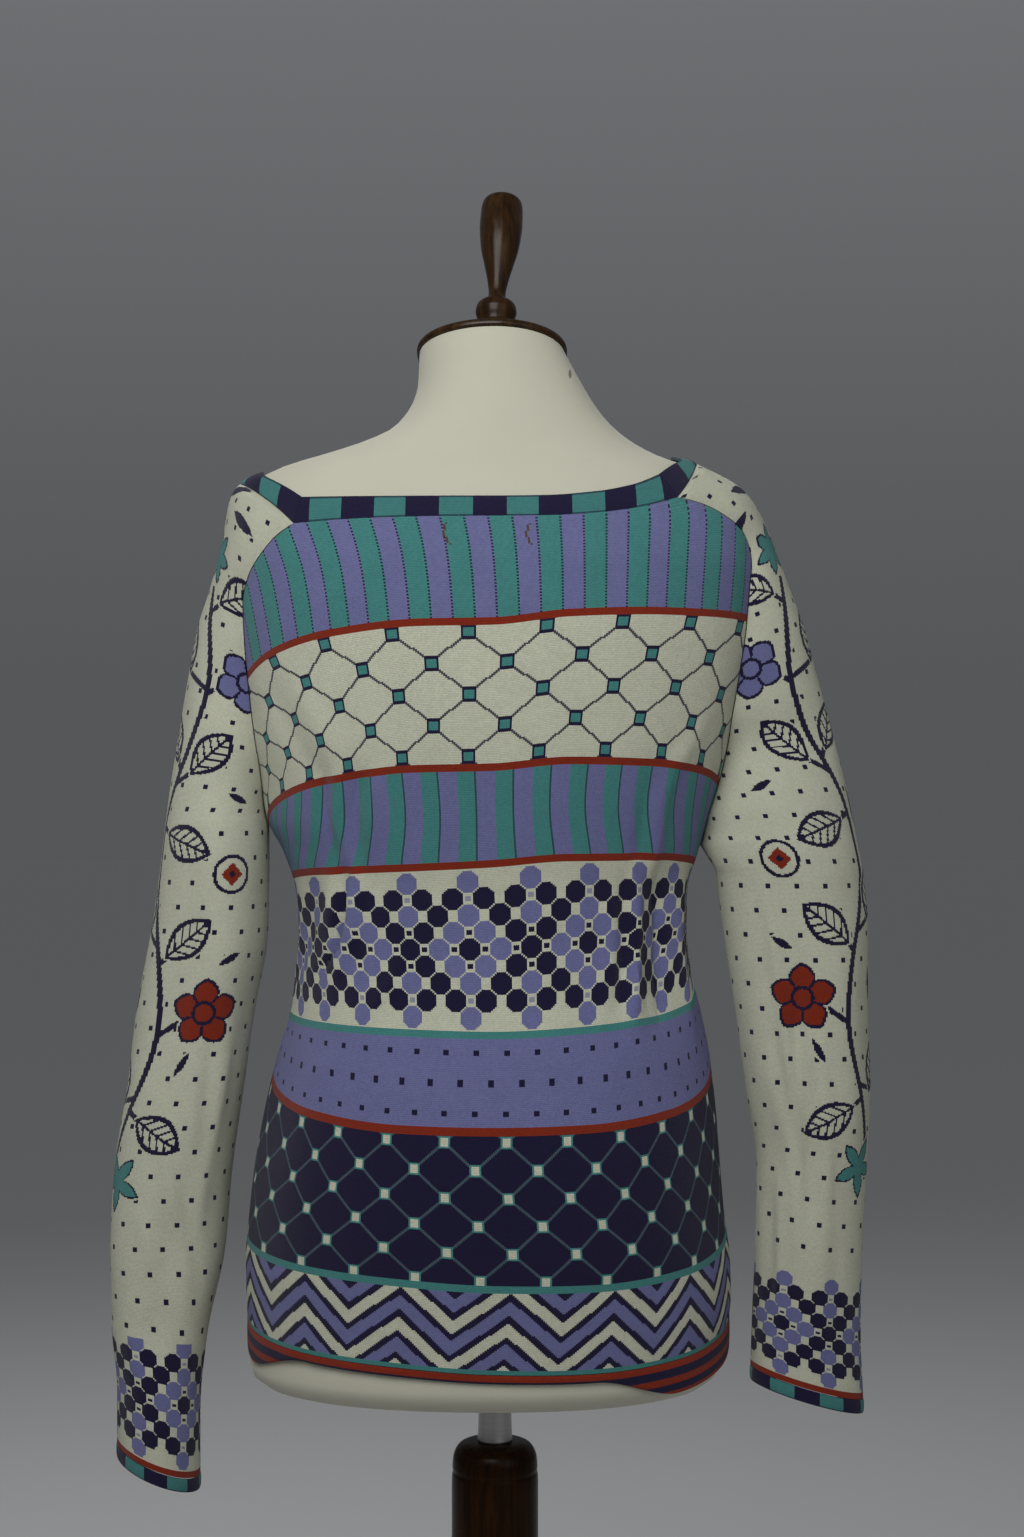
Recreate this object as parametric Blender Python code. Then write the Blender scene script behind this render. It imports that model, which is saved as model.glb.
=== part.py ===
"""Button cardigan worn by a limbless dress form on a turned wooden stand.

The tables are in millimetres and the meshes in metres, +Z up. The wearer faces -Y, and the
wearer's left is +X. The origin is on the floor, in the middle of the stand's base.

Every piece of the body lies on one surface, the cardigan's outer face, which `on_torso` gives from a table
of level sections. A place on it is a height and an angle round the body: 0 at the middle of the back, a
quarter turn at the wearer's left side, and a half turn at the middle of the front.
"""

import math
from typing import NamedTuple

import bmesh
import bpy
from mathutils import Matrix, Vector

MM = 0.001

WALL = 1.6  # jersey, and every panel
TRIM_WALL = 2.0  # knitted double
SEAM = 0.35  # gap left between sewn pieces
QUARTER = math.pi / 2
HALF = math.pi


class Section(NamedTuple):
    """A level cut through the cardigan's outer face: half widths, depths from the axis, and roundness."""

    height: float
    left: float
    right: float
    back: float
    front: float
    power: float


SECTIONS = (
    Section(745, 176, 164, 102, 98, 2.2),
    Section(770, 180, 168, 112, 104, 2.2),
    Section(811, 183, 174, 117, 108, 2.2),
    Section(840, 183.5, 173, 120, 110, 2.2),
    Section(870, 181, 169, 121, 110, 2.2),
    Section(905, 177, 166, 120, 108, 2.2),
    Section(945, 170, 163, 114, 105, 2.2),
    Section(988, 160, 158, 103, 98, 2.2),
    Section(1018, 151, 152, 93, 93, 2.2),
    Section(1047, 147.5, 145, 86, 90, 2.2),
    Section(1080, 145, 141.5, 82, 89, 2.2),
    Section(1107, 147, 142, 82, 92, 2.2),
    Section(1136, 156, 150, 86, 100, 2.25),
    Section(1160, 168, 157, 90, 111, 2.3),
    Section(1190, 173, 166, 95, 121, 2.35),
    Section(1220, 180, 173, 99, 125, 2.4),
    Section(1265, 186, 184, 102, 122, 2.4),
    Section(1300, 190, 190, 103, 112, 2.4),
    Section(1340, 193, 193, 99, 98, 2.4),
    Section(1370, 193.5, 191, 87, 84, 2.35),
    Section(1390, 193, 185, 74, 72, 2.3),
    Section(1400, 191, 178, 68, 68, 2.25),
    Section(1407, 188, 170, 64.5, 66, 2.2),
    Section(1416, 171, 157, 61, 65, 2.2),
    Section(1422, 158, 148, 59.5, 65, 2.2),
    Section(1426, 146, 133, 58.5, 65.5, 2.15),
    Section(1431, 128, 120, 57, 66, 2.1),
    Section(1440, 97, 102, 55, 67, 2.1),
    Section(1447, 79.5, 92, 53.5, 68, 2.05),
    Section(1454, 71, 84, 52, 69, 2),
    Section(1462, 64.5, 77, 50, 70, 2),
    Section(1475, 59.8, 67.5, 47, 71.5, 2),
    Section(1497, 58.5, 57, 42, 75, 2),
)


class Clearance(NamedTuple):
    """How far the cloth stands off the form at a height."""

    height: float
    gap: float


CLEARANCES = (
    Clearance(745, 5.5),
    Clearance(790, 5.5),
    Clearance(850, 3),
    Clearance(950, 4),
    Clearance(1080, 6),
    Clearance(1160, 5),
    Clearance(1250, 2.6),
    Clearance(1330, 1.9),
    Clearance(1375, 1.6),
    Clearance(1390, 1.4),
    Clearance(1410, 1.6),
    Clearance(1497, 1.2),
)
ARM_PLATE = 7  # how much the form's flat sides lie further in, below the shoulders
ARM_PLATE_FROM, ARM_PLATE_TO = 1120, 1385
ARM_PLATE_EASE = 50
ARM_PLATE_POWER = 8  # how soon the flat gives way to the round of the back and chest


class Line(NamedTuple):
    """A line round the body: its heights at the back's middle, at each end and at the front's middle."""

    middle: float
    left: float
    right: float
    front: float


RIB_LINE = Line(774, 789, 788, 788)
UNDERARM = Line(1163, 1157, 1141, 1160)
NECK_OUTER = Line(1375.5, 1372, 1391.5, 1345)
NECK_INNER = Line(1391, 1392, 1409, 1361)
LINE_POWER = 3  # how late a line leaves its middle height on its way to the end


class SeamRow(NamedTuple):
    """A point of an armhole seam: its height, and how far it lies from the middle."""

    height: float
    reach: float


ARMHOLE_LEFT = (
    SeamRow(1182, 170),
    SeamRow(1220, 174),
    SeamRow(1265, 179),
    SeamRow(1295, 181),
    SeamRow(1319, 181.5),
    SeamRow(1336, 176.5),
    SeamRow(1350, 167.5),
    SeamRow(1363, 156),
    SeamRow(1372, 143),
)
ARMHOLE_RIGHT = (
    SeamRow(1168, 158),
    SeamRow(1203, 168),
    SeamRow(1240, 173),
    SeamRow(1278, 179),
    SeamRow(1324, 184),
    SeamRow(1350, 186),
    SeamRow(1366, 181),
    SeamRow(1378, 168),
    SeamRow(1387, 150),
    SeamRow(1391.5, 131),
)


class Shoulder(NamedTuple):
    """Where a side of the neck opening crosses the top of the shoulder, and its inner corners."""

    corner_reach: float
    inner_ridge: float
    outer_ridge: float


SHOULDER_LEFT = Shoulder(138, 1416, 1407)
SHOULDER_RIGHT = Shoulder(118, 1427, 1422)


class SleeveRing(NamedTuple):
    """A level cut through a sleeve: where its faces lie, and how far its inner edge is above its middle."""

    height: float
    inner: float
    outer: float
    back: float
    front: float
    drop: float


SLEEVE_LEFT = (
    SleeveRing(1122, 167, 247, 52, -52, 0),
    SleeveRing(1077, 168, 254, 48, -50, 0),
    SleeveRing(1018, 178, 265, 43, -47, 0),
    SleeveRing(959, 186.5, 272, 40, -45, 0),
    SleeveRing(899, 195, 281, 37, -45, 0),
    SleeveRing(840, 200.5, 284, 34, -45, 0),
    SleeveRing(781, 214, 284, 31, -44, -6),
    SleeveRing(730, 219, 280, 30, -43, -10),
    SleeveRing(687, 219, 280, 30, -43, -13),
)
SLEEVE_RIGHT = (
    SleeveRing(1122, 163, 272, 46, -46, 0),
    SleeveRing(1077, 169, 276, 42, -45, 0),
    SleeveRing(1018, 178, 276, 38, -42, 0),
    SleeveRing(959, 186, 278, 34, -41, 0),
    SleeveRing(899, 194, 275, 31, -40, 4),
    SleeveRing(840, 193, 272, 28, -38, 6),
    SleeveRing(790, 191, 271, 25, -36, 9),
    SleeveRing(743, 189.5, 273, 23, -34, 12),
)
CUFF_HEIGHT = 10.5

OUTER_LEFT = (
    SeamRow(1157, 243),
    SeamRow(1181, 240),
    SeamRow(1225, 233),
    SeamRow(1255, 228),
    SeamRow(1299, 220),
    SeamRow(1329, 210.5),
    SeamRow(1358, 202.5),
    SeamRow(1376, 199),
    SeamRow(1391, 196.5),
    SeamRow(1401, 193),
    SeamRow(1407, 188),
)
OUTER_RIGHT = (
    SeamRow(1141, 268),
    SeamRow(1181, 260),
    SeamRow(1225, 249),
    SeamRow(1269, 237),
    SeamRow(1299, 229),
    SeamRow(1329, 218),
    SeamRow(1358, 207),
    SeamRow(1375, 200.5),
    SeamRow(1390, 193),
    SeamRow(1405, 180),
    SeamRow(1422, 148),
)
CAP_FULLNESS = 2  # how soon the sleeve's depth above the underarm gives way to the armhole's own


class Fold(NamedTuple):
    """A soft fold on the body: its two ends in degrees and height, its width, and how far it stands out."""

    from_angle: float
    from_height: float
    to_angle: float
    to_height: float
    width: float
    rise: float


BODY_FOLDS = (
    Fold(52, 1118, 62, 1050, 9, 4.5),
    Fold(66, 1120, 80, 1040, 10, -3),
    Fold(-50, 1110, -47, 1000, 8, 4),
    Fold(-63, 1130, -58, 1020, 9, -3),
    Fold(-74, 1120, -70, 1010, 9, 4),
    Fold(130, 1110, 118, 1030, 10, 4),
    Fold(-128, 1115, -120, 1020, 10, 4),
)


class SleeveFold(NamedTuple):
    """A soft fold on a sleeve: its turn from the inner edge by way of the back, heights, width and rise."""

    turn: float
    high: float
    low: float
    width: float
    rise: float


FOLDS_LEFT = (
    SleeveFold(110, 1170, 960, 26, -5),
    SleeveFold(60, 1100, 900, 24, 3.5),
    SleeveFold(140, 980, 790, 24, 3),
    SleeveFold(85, 880, 760, 22, -4),
    SleeveFold(250, 1120, 900, 26, -4),
    SleeveFold(290, 960, 800, 24, 3),
)
FOLDS_RIGHT = (
    SleeveFold(75, 1150, 980, 26, -5),
    SleeveFold(120, 1080, 900, 24, 4),
    SleeveFold(45, 960, 800, 22, -3.5),
    SleeveFold(95, 880, 770, 24, 3),
    SleeveFold(255, 1110, 920, 26, -4),
    SleeveFold(300, 950, 800, 24, 3),
)

FOLD_FADE = 0.15  # how far a fold runs on past its ends, as a share of its length
FOLD_SWELL = 0.45  # and the share over which it swells to its full height

BACK_COLUMNS = 20
FRONT_COLUMNS = 9
LOWER_ROWS = 12
ARMHOLE_ROWS = 9
SLEEVE_COLUMNS = 20
SLEEVE_ROWS = 9
SLEEVE_CLEAR = 1  # the least that a cap stands off the body's face
UNDERARM_GAP = 0.7
DOWN = Vector((0, 0, -1))

BAND_HALF = 14
BAND_ROWS = 24
LAP_RISE = 2.6  # how far the buttonhole side stands over the button band
LAP_RUN = 45

RIB_HEIGHT_SIDE = 21
RIB_HEIGHT_BACK = 5.5
RIB_TURN_SHARE = 0.62  # how far from the middle of the back to the side the rib stays turned under
RIB_HOOK, RIB_LIP = 6, 0.8  # the length turned up inside, where it is turned under and where it isn't

BUTTON_COUNT = 7
BUTTON_RADIUS = 7.5
BUTTON_SIDES = 14
BUTTON_TOP, BUTTON_BOTTOM = 1338, 802
BUTTON_GAP = 0.5

FORM_COLUMNS = 32
NECK_TILT = math.radians(20)
NECK_MIDDLE = -16
NECK_TILT_FROM, NECK_TOP = 1426, 1497
FORM_HEIGHTS = (
    *(800, 840, 875, 910, 945, 985, 1015, 1045, 1080, 1110, 1135, 1160, 1190, 1225, 1265, 1305),
    *(1340, 1365, 1385, 1400, 1410, 1418, 1426, 1433, 1442, 1450, 1460, 1476, NECK_TOP),
)
KNOB_LEAN = math.radians(3)
KNOB_GAP = 0.5


class CapEdge(NamedTuple):
    """A point of the neck cap's edge: its height over the neck, and how far it stands out past the neck."""

    rise: float
    spread: float


CAP_EDGE = (CapEdge(0, 0), CapEdge(1, 1.5), CapEdge(4.2, 1.5), CapEdge(6, -1))


class ButtonRing(NamedTuple):
    """A point of a button's outline: its height, and its radius as a share of the button's."""

    rise: float
    share: float


BUTTON_OUTLINE = (
    ButtonRing(0, 0.7),
    ButtonRing(0, 1),
    ButtonRing(1.4, 1),
    ButtonRing(2.4, 0.86),
    ButtonRing(2.4, 0.66),
    ButtonRing(1.7, 0.5),
)


class Turned(NamedTuple):
    """A point of a turned piece's outline: its place along the axis and its radius."""

    along: float
    radius: float


FORM_FOOT = (Turned(747, 24), Turned(750, 12), Turned(757, 4.5), Turned(767, 0))
KNOB = (
    Turned(0, 18),
    Turned(3, 19),
    Turned(7, 17),
    Turned(14, 12),
    Turned(24, 12),
    Turned(30, 14.5),
    Turned(35, 15.6),
    Turned(42, 15.2),
    Turned(46, 12),
    Turned(50, 8.2),
    Turned(56, 7.2),
    Turned(66, 9),
    Turned(80, 13),
    Turned(94, 15.4),
    Turned(112, 16.2),
    Turned(126, 15.6),
    Turned(133, 13.8),
    Turned(136.5, 9),
    Turned(138, 3),
)
POST = (
    Turned(28.3, 46),
    Turned(36, 46),
    Turned(42, 42),
    Turned(52, 34),
    Turned(66, 32),
    Turned(672, 32),
    Turned(684, 31.2),
    Turned(687, 29.6),
    Turned(690, 31.4),
    Turned(695, 31),
    Turned(698.5, 28),
    Turned(700, 22),
)
BASE = (Turned(0, 186), Turned(3, 190), Turned(16, 190), Turned(24, 184), Turned(28, 172))
PEG = (Turned(POST[-1].along + SEAM, 12.5), Turned(FORM_FOOT[0].along - SEAM, 12.5))
KNOB_SIDES, POST_SIDES, BASE_SIDES, PEG_SIDES = 24, 32, 48, 20

# ---------------------------------------------------------------- smooth tables


def smooth(rows, key, column, at):
    """A value of a table's column at a key between its rows, on a smooth curve through them."""
    keys = [getattr(row, key) for row in rows]
    values = [getattr(row, column) for row in rows]
    if keys[0] > keys[-1]:
        keys.reverse()
        values.reverse()
    if at <= keys[0]:
        return values[0]
    if at >= keys[-1]:
        return values[-1]
    high = next(i for i, value in enumerate(keys) if value >= at)
    low = high - 1

    def steepness(i):
        return (values[i + 1] - values[i]) / (keys[i + 1] - keys[i])

    def slope(i):
        if i == 0:
            return steepness(0)
        if i == len(keys) - 1:
            return steepness(i - 1)
        before, after = steepness(i - 1), steepness(i)
        if before * after <= 0:
            return 0
        return 2 * before * after / (before + after)

    span = keys[high] - keys[low]
    t = (at - keys[low]) / span
    return (
        (2 * t**3 - 3 * t**2 + 1) * values[low]
        + (t**3 - 2 * t**2 + t) * span * slope(low)
        + (3 * t**2 - 2 * t**3) * values[high]
        + (t**3 - t**2) * span * slope(high)
    )


def section(height):
    """The body's section at any height."""
    return Section(height, *(smooth(SECTIONS, "height", name, height) for name in Section._fields[1:]))


def ramp(value, start, end):
    """Rises smoothly from 0 at start to 1 at end."""
    t = min(1, max(0, (value - start) / (end - start)))
    return t * t * (3 - 2 * t)


# ---------------------------------------------------------------- the body's surface


def on_torso(angle, height):
    """The point of the cardigan's outer face at an angle and a height."""
    cut = section(height)
    wide = math.sqrt((cut.left + cut.right) / (cut.back + cut.front))
    x, y = wide * math.sin(angle), math.cos(angle)
    half = cut.left if x > 0 else cut.right
    deep = cut.back if y > 0 else cut.front
    scale = ((abs(x) / half) ** cut.power + (abs(y) / deep) ** cut.power) ** (-1 / cut.power)
    return Vector((x * scale, y * scale, height))


def torso_normal(angle, height):
    """The way out of the cardigan's outer face."""
    step = 0.01
    round_body = on_torso(angle + step, height) - on_torso(angle - step, height)
    upward = on_torso(angle, height + 1.5) - on_torso(angle, height - 1.5)
    return upward.cross(round_body).normalized()


def torso_angle(reach, height, front=False):
    """The angle at which the surface is this far to the wearer's left (or right, below 0) of the middle."""
    cut = section(height)
    wide = math.sqrt((cut.left + cut.right) / (cut.back + cut.front))
    half = cut.left if reach > 0 else cut.right
    deep = cut.front if front else cut.back
    share = min(1, abs(reach) / half)
    y = deep * (1 - share**cut.power) ** (1 / cut.power)
    angle = math.atan2(abs(reach) / wide, -y if front else y)
    return math.copysign(angle, reach)


def fold_rise(angle, height):
    """How far the body's folds push the cloth out."""
    total = 0
    cut = section(height)
    for fold in BODY_FOLDS:
        along = (fold.from_height - height) / (fold.from_height - fold.to_height)
        share = min(1, max(0, along))
        middle = math.radians(fold.from_angle + (fold.to_angle - fold.from_angle) * share)
        across = (angle - middle) * (cut.left + cut.back) / 2
        ends = ramp(along, -FOLD_FADE, FOLD_SWELL - FOLD_FADE)
        ends *= ramp(along, 1 + FOLD_FADE, 1 + FOLD_FADE - FOLD_SWELL)
        total += fold.rise * ends * math.exp(-((across / fold.width) ** 2))
    return total


def lap_rise(angle, height):
    """How far the wearer's right front stands out near its edge, to lie over the button band."""
    if angle >= -QUARTER:
        return 0
    reach = abs(on_torso(angle, height).x)
    return LAP_RISE * ramp(reach, BAND_HALF + LAP_RUN, BAND_HALF)


def cloth(angle, height):
    """(point, way out) of a panel's outer face, with its folds and lap."""
    way = torso_normal(angle, height)
    return on_torso(angle, height) + way * (fold_rise(angle, height) + lap_rise(angle, height)), way


# ---------------------------------------------------------------- lines on the body


class Place(NamedTuple):
    """A place on the body's surface."""

    angle: float
    height: float


class Knot(NamedTuple):
    """A knot of a smooth line: the distance along the line to it, and its two values."""

    run: float
    first: float
    second: float


def evenly(knots, runs, count):
    """count + 1 value pairs evenly spaced along a smooth line through knots that lie at the runs."""
    rows = [Knot(run, *knot) for run, knot in zip(runs, knots)]
    places = [runs[-1] * i / count for i in range(count + 1)]
    return [(smooth(rows, "run", "first", run), smooth(rows, "run", "second", run)) for run in places]


def running(points):
    """The distance along a line to each of its points."""
    runs = [0.0]
    for a, b in zip(points, points[1:]):
        runs.append(runs[-1] + (b - a).length)
    return runs


def armhole(side, front):
    """The seam's places from the underarm up to the neck trim's outer corner, evenly spaced."""
    rows = ARMHOLE_LEFT if side > 0 else ARMHOLE_RIGHT
    knots = [Place(side * QUARTER, side_of(UNDERARM, side))]
    knots += [Place(torso_angle(side * row.reach, row.height, front), row.height) for row in rows]
    runs = running([on_torso(*knot) for knot in knots])
    return [Place(*row) for row in evenly(knots, runs, ARMHOLE_ROWS)]


def outer_line(side):
    """The points of the sleeve's outermost line, from the level of the underarm up to the trim."""
    rows = OUTER_LEFT if side > 0 else OUTER_RIGHT
    knots = [(row.reach, row.height) for row in rows]
    runs = running([Vector(knot) for knot in knots])
    return [Vector((side * reach, 0, height)) for reach, height in evenly(knots, runs, ARMHOLE_ROWS)]


def over_shoulder(side, corner_reach, corner_height, ridge_height):
    """A side of the neck opening, from its back corner over the shoulder to its front corner."""
    back = torso_angle(side * corner_reach, corner_height)
    front = torso_angle(side * corner_reach, corner_height, front=True)
    places = []
    for i in range(SLEEVE_COLUMNS + 1):
        share = i / SLEEVE_COLUMNS
        angle = back + (front - back) * share
        lift = 1 - (2 * share - 1) ** 2
        places.append(Place(angle, corner_height + (ridge_height - corner_height) * lift))
    return places


def side_of(line, side):
    return line.left if side > 0 else line.right


def row_across(middle, left_end, right_end):
    """Places along a line of the back, from the wearer's left end to the right end."""
    places = []
    for i in range(BACK_COLUMNS + 1):
        angle = left_end.angle + (right_end.angle - left_end.angle) * i / BACK_COLUMNS
        end = left_end if angle > 0 else right_end
        share = abs(angle / end.angle) ** LINE_POWER
        places.append(Place(angle, middle + (end.height - middle) * share))
    return places


def row_to_front(front, end, side):
    """Places along a line of a front, from the side or armhole to the front band."""
    places = []
    edge = torso_angle(side * (BAND_HALF + SEAM), front, front=True)
    for i in range(FRONT_COLUMNS + 1):
        angle = end.angle + (edge - end.angle) * i / FRONT_COLUMNS
        share = ((side * HALF - angle) / (side * HALF - end.angle)) ** LINE_POWER
        places.append(Place(angle, front + (end.height - front) * share))
    return places


def body_rows():
    """(its line, left end, right end) of each row of the panels, from the hem up."""
    rows = []
    for i in range(LOWER_ROWS):
        share = i / LOWER_ROWS
        line = Line(*(low + (high - low) * share for low, high in zip(RIB_LINE, UNDERARM)))
        rows.append((line, Place(QUARTER, line.left), Place(-QUARTER, line.right)))
    left, right = armhole(1, False), armhole(-1, False)
    for left_end, right_end in zip(left, right):
        left_share = (left_end.height - left[0].height) / (left[-1].height - left[0].height)
        right_share = (right_end.height - right[0].height) / (right[-1].height - right[0].height)
        share = (left_share + right_share) / 2
        line = Line(
            UNDERARM.middle + (NECK_OUTER.middle - UNDERARM.middle) * share,
            left_end.height,
            right_end.height,
            UNDERARM.front + (NECK_OUTER.front - UNDERARM.front) * share,
        )
        rows.append((line, left_end, right_end))
    return rows


# ---------------------------------------------------------------- walls


def clear_scene():
    for obj in list(bpy.data.objects):
        bpy.data.objects.remove(obj, do_unlink=True)


def finish_of(name, colour, roughness, metallic=0.0):
    """A plain material."""
    found = bpy.data.materials.get(name)
    if found:
        return found
    made = bpy.data.materials.new(name)
    made.use_nodes = True
    shader = made.node_tree.nodes["Principled BSDF"]
    shader.inputs["Base Color"].default_value = (*colour, 1)
    shader.inputs["Roughness"].default_value = roughness
    shader.inputs["Metallic"].default_value = metallic
    return made


JERSEY = ("jersey", (0.43, 0.44, 0.35), 0.9)
TRIM = ("trim", (0.06, 0.19, 0.18), 0.9)
RIB = ("rib", (0.16, 0.03, 0.02), 0.9)
BUTTON = ("button", (0.03, 0.028, 0.05), 0.4)
FORM_CLOTH = ("form_cloth", (0.45, 0.44, 0.36), 0.8)
WOOD = ("dark_wood", (0.03, 0.014, 0.006), 0.3)
STEEL = ("steel", (0.5, 0.5, 0.48), 0.35, 1.0)
SHARP = math.radians(50)
NEVER = 10**6  # a row number past any grid's end


def keep(mesh, name, finish):
    """Makes an object of a closed mesh in millimetres, with its faces turned outwards."""
    bmesh.ops.recalc_face_normals(mesh, faces=mesh.faces)
    mesh.transform(Matrix.Scale(MM, 4))
    data = bpy.data.meshes.new(name)
    mesh.to_mesh(data)
    mesh.free()
    data.shade_smooth()
    data.set_sharp_from_angle(angle=SHARP)
    data.materials.append(finish_of(*finish))
    obj = bpy.data.objects.new(name, data)
    bpy.context.scene.collection.objects.link(obj)


def loft(name, rings, finish):
    """A closed solid through rings of equal count, capped at both ends: each ring closes on itself."""
    mesh = bmesh.new()
    loops = [[mesh.verts.new(point) for point in ring] for ring in rings]
    for low, high in zip(loops, loops[1:]):
        for i, a in enumerate(low):
            j = (i + 1) % len(low)
            mesh.faces.new((a, low[j], high[j], high[i]))
    mesh.faces.new(list(reversed(loops[0])))
    mesh.faces.new(loops[-1])
    keep(mesh, name, finish)


def wall(name, grid, finish, thickness=WALL, closed_from=NEVER):
    """A wall of cloth under a grid of (point, way out), with rims.

    From row closed_from on, the wall goes round and meets itself.
    """
    mesh = bmesh.new()
    columns = len(grid[0]) - (1 if closed_from else 0)
    outer = [[mesh.verts.new(point) for point, _ in row] for row in grid]
    inner = [[mesh.verts.new(point - way * thickness) for point, way in row] for row in grid]

    def at(layer, row, column):
        return layer[row][column % columns if row >= closed_from else column]

    def face(*corners):
        mesh.faces.new([at(*corner) for corner in corners])

    for layer in (outer, inner):
        for r in range(len(grid) - 1):
            for c in range(columns):
                face((layer, r, c), (layer, r, c + 1), (layer, r + 1, c + 1), (layer, r + 1, c))
    for r in (0, len(grid) - 1):
        for c in range(columns):
            face((outer, r, c), (outer, r, c + 1), (inner, r, c + 1), (inner, r, c))
    for r in range(min(closed_from, len(grid) - 1)):
        for c in (0, columns):
            face((outer, r, c), (outer, r + 1, c), (inner, r + 1, c), (inner, r, c))
    keep(mesh, name, finish)


def drawn_in(grid):
    """The grid with its outermost points moved inwards along the cloth, which leaves half the seam gap."""
    rows = [list(row) for row in grid]
    for row in rows:
        for edge, beside in ((0, 1), (-1, -2)):
            point, way = row[edge]
            row[edge] = (point + (row[beside][0] - point).normalized() * SEAM / 2, way)
    for edge, beside in ((0, 1), (-1, -2)):
        rows[edge] = [
            (point + (near[0] - point).normalized() * SEAM / 2, way)
            for (point, way), near in zip(rows[edge], rows[beside])
        ]
    return rows


# ---------------------------------------------------------------- the cardigan


def make_panels():
    """The back and the two fronts."""
    back, fronts = [], {1: [], -1: []}
    fronts_seams = {side: armhole(side, True) for side in (1, -1)}
    for index, (line, left_end, right_end) in enumerate(body_rows()):
        back.append([cloth(*place) for place in row_across(line.middle, left_end, right_end)])
        for side, back_end in ((1, left_end), (-1, right_end)):
            end = back_end if index <= LOWER_ROWS else fronts_seams[side][index - LOWER_ROWS]
            places = row_to_front(line.front, end, side)
            fronts[side].append([cloth(*place) for place in places])
    wall("back_panel", drawn_in(back), JERSEY)
    wall("front_left", drawn_in(fronts[1]), JERSEY)
    wall("front_right", drawn_in(fronts[-1]), JERSEY)


def ruled(low, high):
    """A strip of cloth between two lines of places, with a line midway between them."""
    middle = [Place((a.angle + b.angle) / 2, (a.height + b.height) / 2) for a, b in zip(low, high)]
    return [[cloth(*place) for place in line] for line in (low, middle, high)]


def make_neck_trims():
    """The trim round the neck: back, shoulders and fronts, mitred at its four corners."""
    ends = {}
    for side, shoulder in ((1, SHOULDER_LEFT), (-1, SHOULDER_RIGHT)):
        seam = armhole(side, False)[-1]
        outer = over_shoulder(side, abs(on_torso(*seam).x), seam.height, shoulder.outer_ridge)
        inner = over_shoulder(side, shoulder.corner_reach, side_of(NECK_INNER, side), shoulder.inner_ridge)
        ends[side] = outer, inner
        name = "left" if side > 0 else "right"
        wall(f"neck_trim_{name}", drawn_in(ruled(outer, inner)), TRIM, TRIM_WALL)
        front_outer = row_to_front(NECK_OUTER.front, outer[-1], side)
        front_inner = row_to_front(NECK_INNER.front, inner[-1], side)
        wall(f"neck_trim_front_{name}", drawn_in(ruled(front_outer, front_inner)), TRIM, TRIM_WALL)
    (left_outer, left_inner), (right_outer, right_inner) = ends[1], ends[-1]
    low = row_across(NECK_OUTER.middle, left_outer[0], right_outer[0])
    high = row_across(NECK_INNER.middle, left_inner[0], right_inner[0])
    wall("neck_trim_back", drawn_in(ruled(low, high)), TRIM, TRIM_WALL)


def rib_drop(angle):
    """(visible height, length turned up inside) of the hem rib at an angle."""
    turned = 1 - ramp(abs(angle) / QUARTER, RIB_TURN_SHARE, 1)
    return RIB_HEIGHT_SIDE + (RIB_HEIGHT_BACK - RIB_HEIGHT_SIDE) * turned, RIB_LIP + RIB_HOOK * turned


def rib_ring(place):
    """The rib's cut at a place: a wall that hangs down, its lower edge rolled in and turned up inside."""
    point, way = cloth(*place)
    way = Vector((way.x, way.y, 0)).normalized()
    drop, hook = rib_drop(place.angle)
    outline = (
        (0, SEAM),
        (0.3, drop * 0.5),
        (0.1, drop),
        (-0.8, drop + 1),
        (-2.4, drop + 1),
        (-3.4, drop),
        (-3.6, drop - hook),
        (-2.2, drop - hook - 0.2),
        (-1.9, drop - 0.6 * min(hook, 1)),
        (-1.7, drop * 0.5 - 0.2),
        (-1.8, SEAM),
    )
    return [point + way * out + DOWN * low for out, low in outline]


def make_ribs():
    """The hem rib, sewn under the three panels."""
    line, left_end, right_end = body_rows()[0]
    stretches = {
        "back": row_across(line.middle, left_end, right_end),
        "front_left": row_to_front(line.front, left_end, 1),
        "front_right": row_to_front(line.front, right_end, -1),
    }
    for name, places in stretches.items():
        rings = [rib_ring(place) for place in places]
        for edge, beside in ((0, 1), (-1, -2)):
            inward = (rings[beside][0] - rings[edge][0]).normalized() * SEAM / 2
            rings[edge] = [point + inward for point in rings[edge]]
        loft(f"hem_rib_{name}", rings, RIB)


def make_bands():
    """The button band on the wearer's left, and the buttonhole band over it."""
    low = RIB_LINE.front - RIB_HEIGHT_SIDE
    for name, out in (("button_band", 0), ("buttonhole_band", LAP_RISE)):
        grid = []
        for i in range(BAND_ROWS + 1):
            height = low + (NECK_INNER.front - low) * i / BAND_ROWS
            row = []
            for reach in (BAND_HALF, 0, -BAND_HALF):
                angle = torso_angle(reach, height, front=True)
                way = torso_normal(angle, height)
                row.append((on_torso(angle, height) + way * out, way))
            grid.append(row)
        wall(name, grid, TRIM)


def make_buttons():
    """Seven rimmed buttons on the buttonhole band."""
    outline = [Turned(ring.rise, ring.share * BUTTON_RADIUS) for ring in BUTTON_OUTLINE]
    for i in range(BUTTON_COUNT):
        height = BUTTON_TOP + (BUTTON_BOTTOM - BUTTON_TOP) * i / (BUTTON_COUNT - 1)
        way = torso_normal(HALF, height)
        seat = on_torso(HALF, height) + way * (LAP_RISE + BUTTON_GAP)
        make_turned(f"button_{i + 1}", outline, seat, way, BUTTON_SIDES, BUTTON)


# ---------------------------------------------------------------- sleeves


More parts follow.
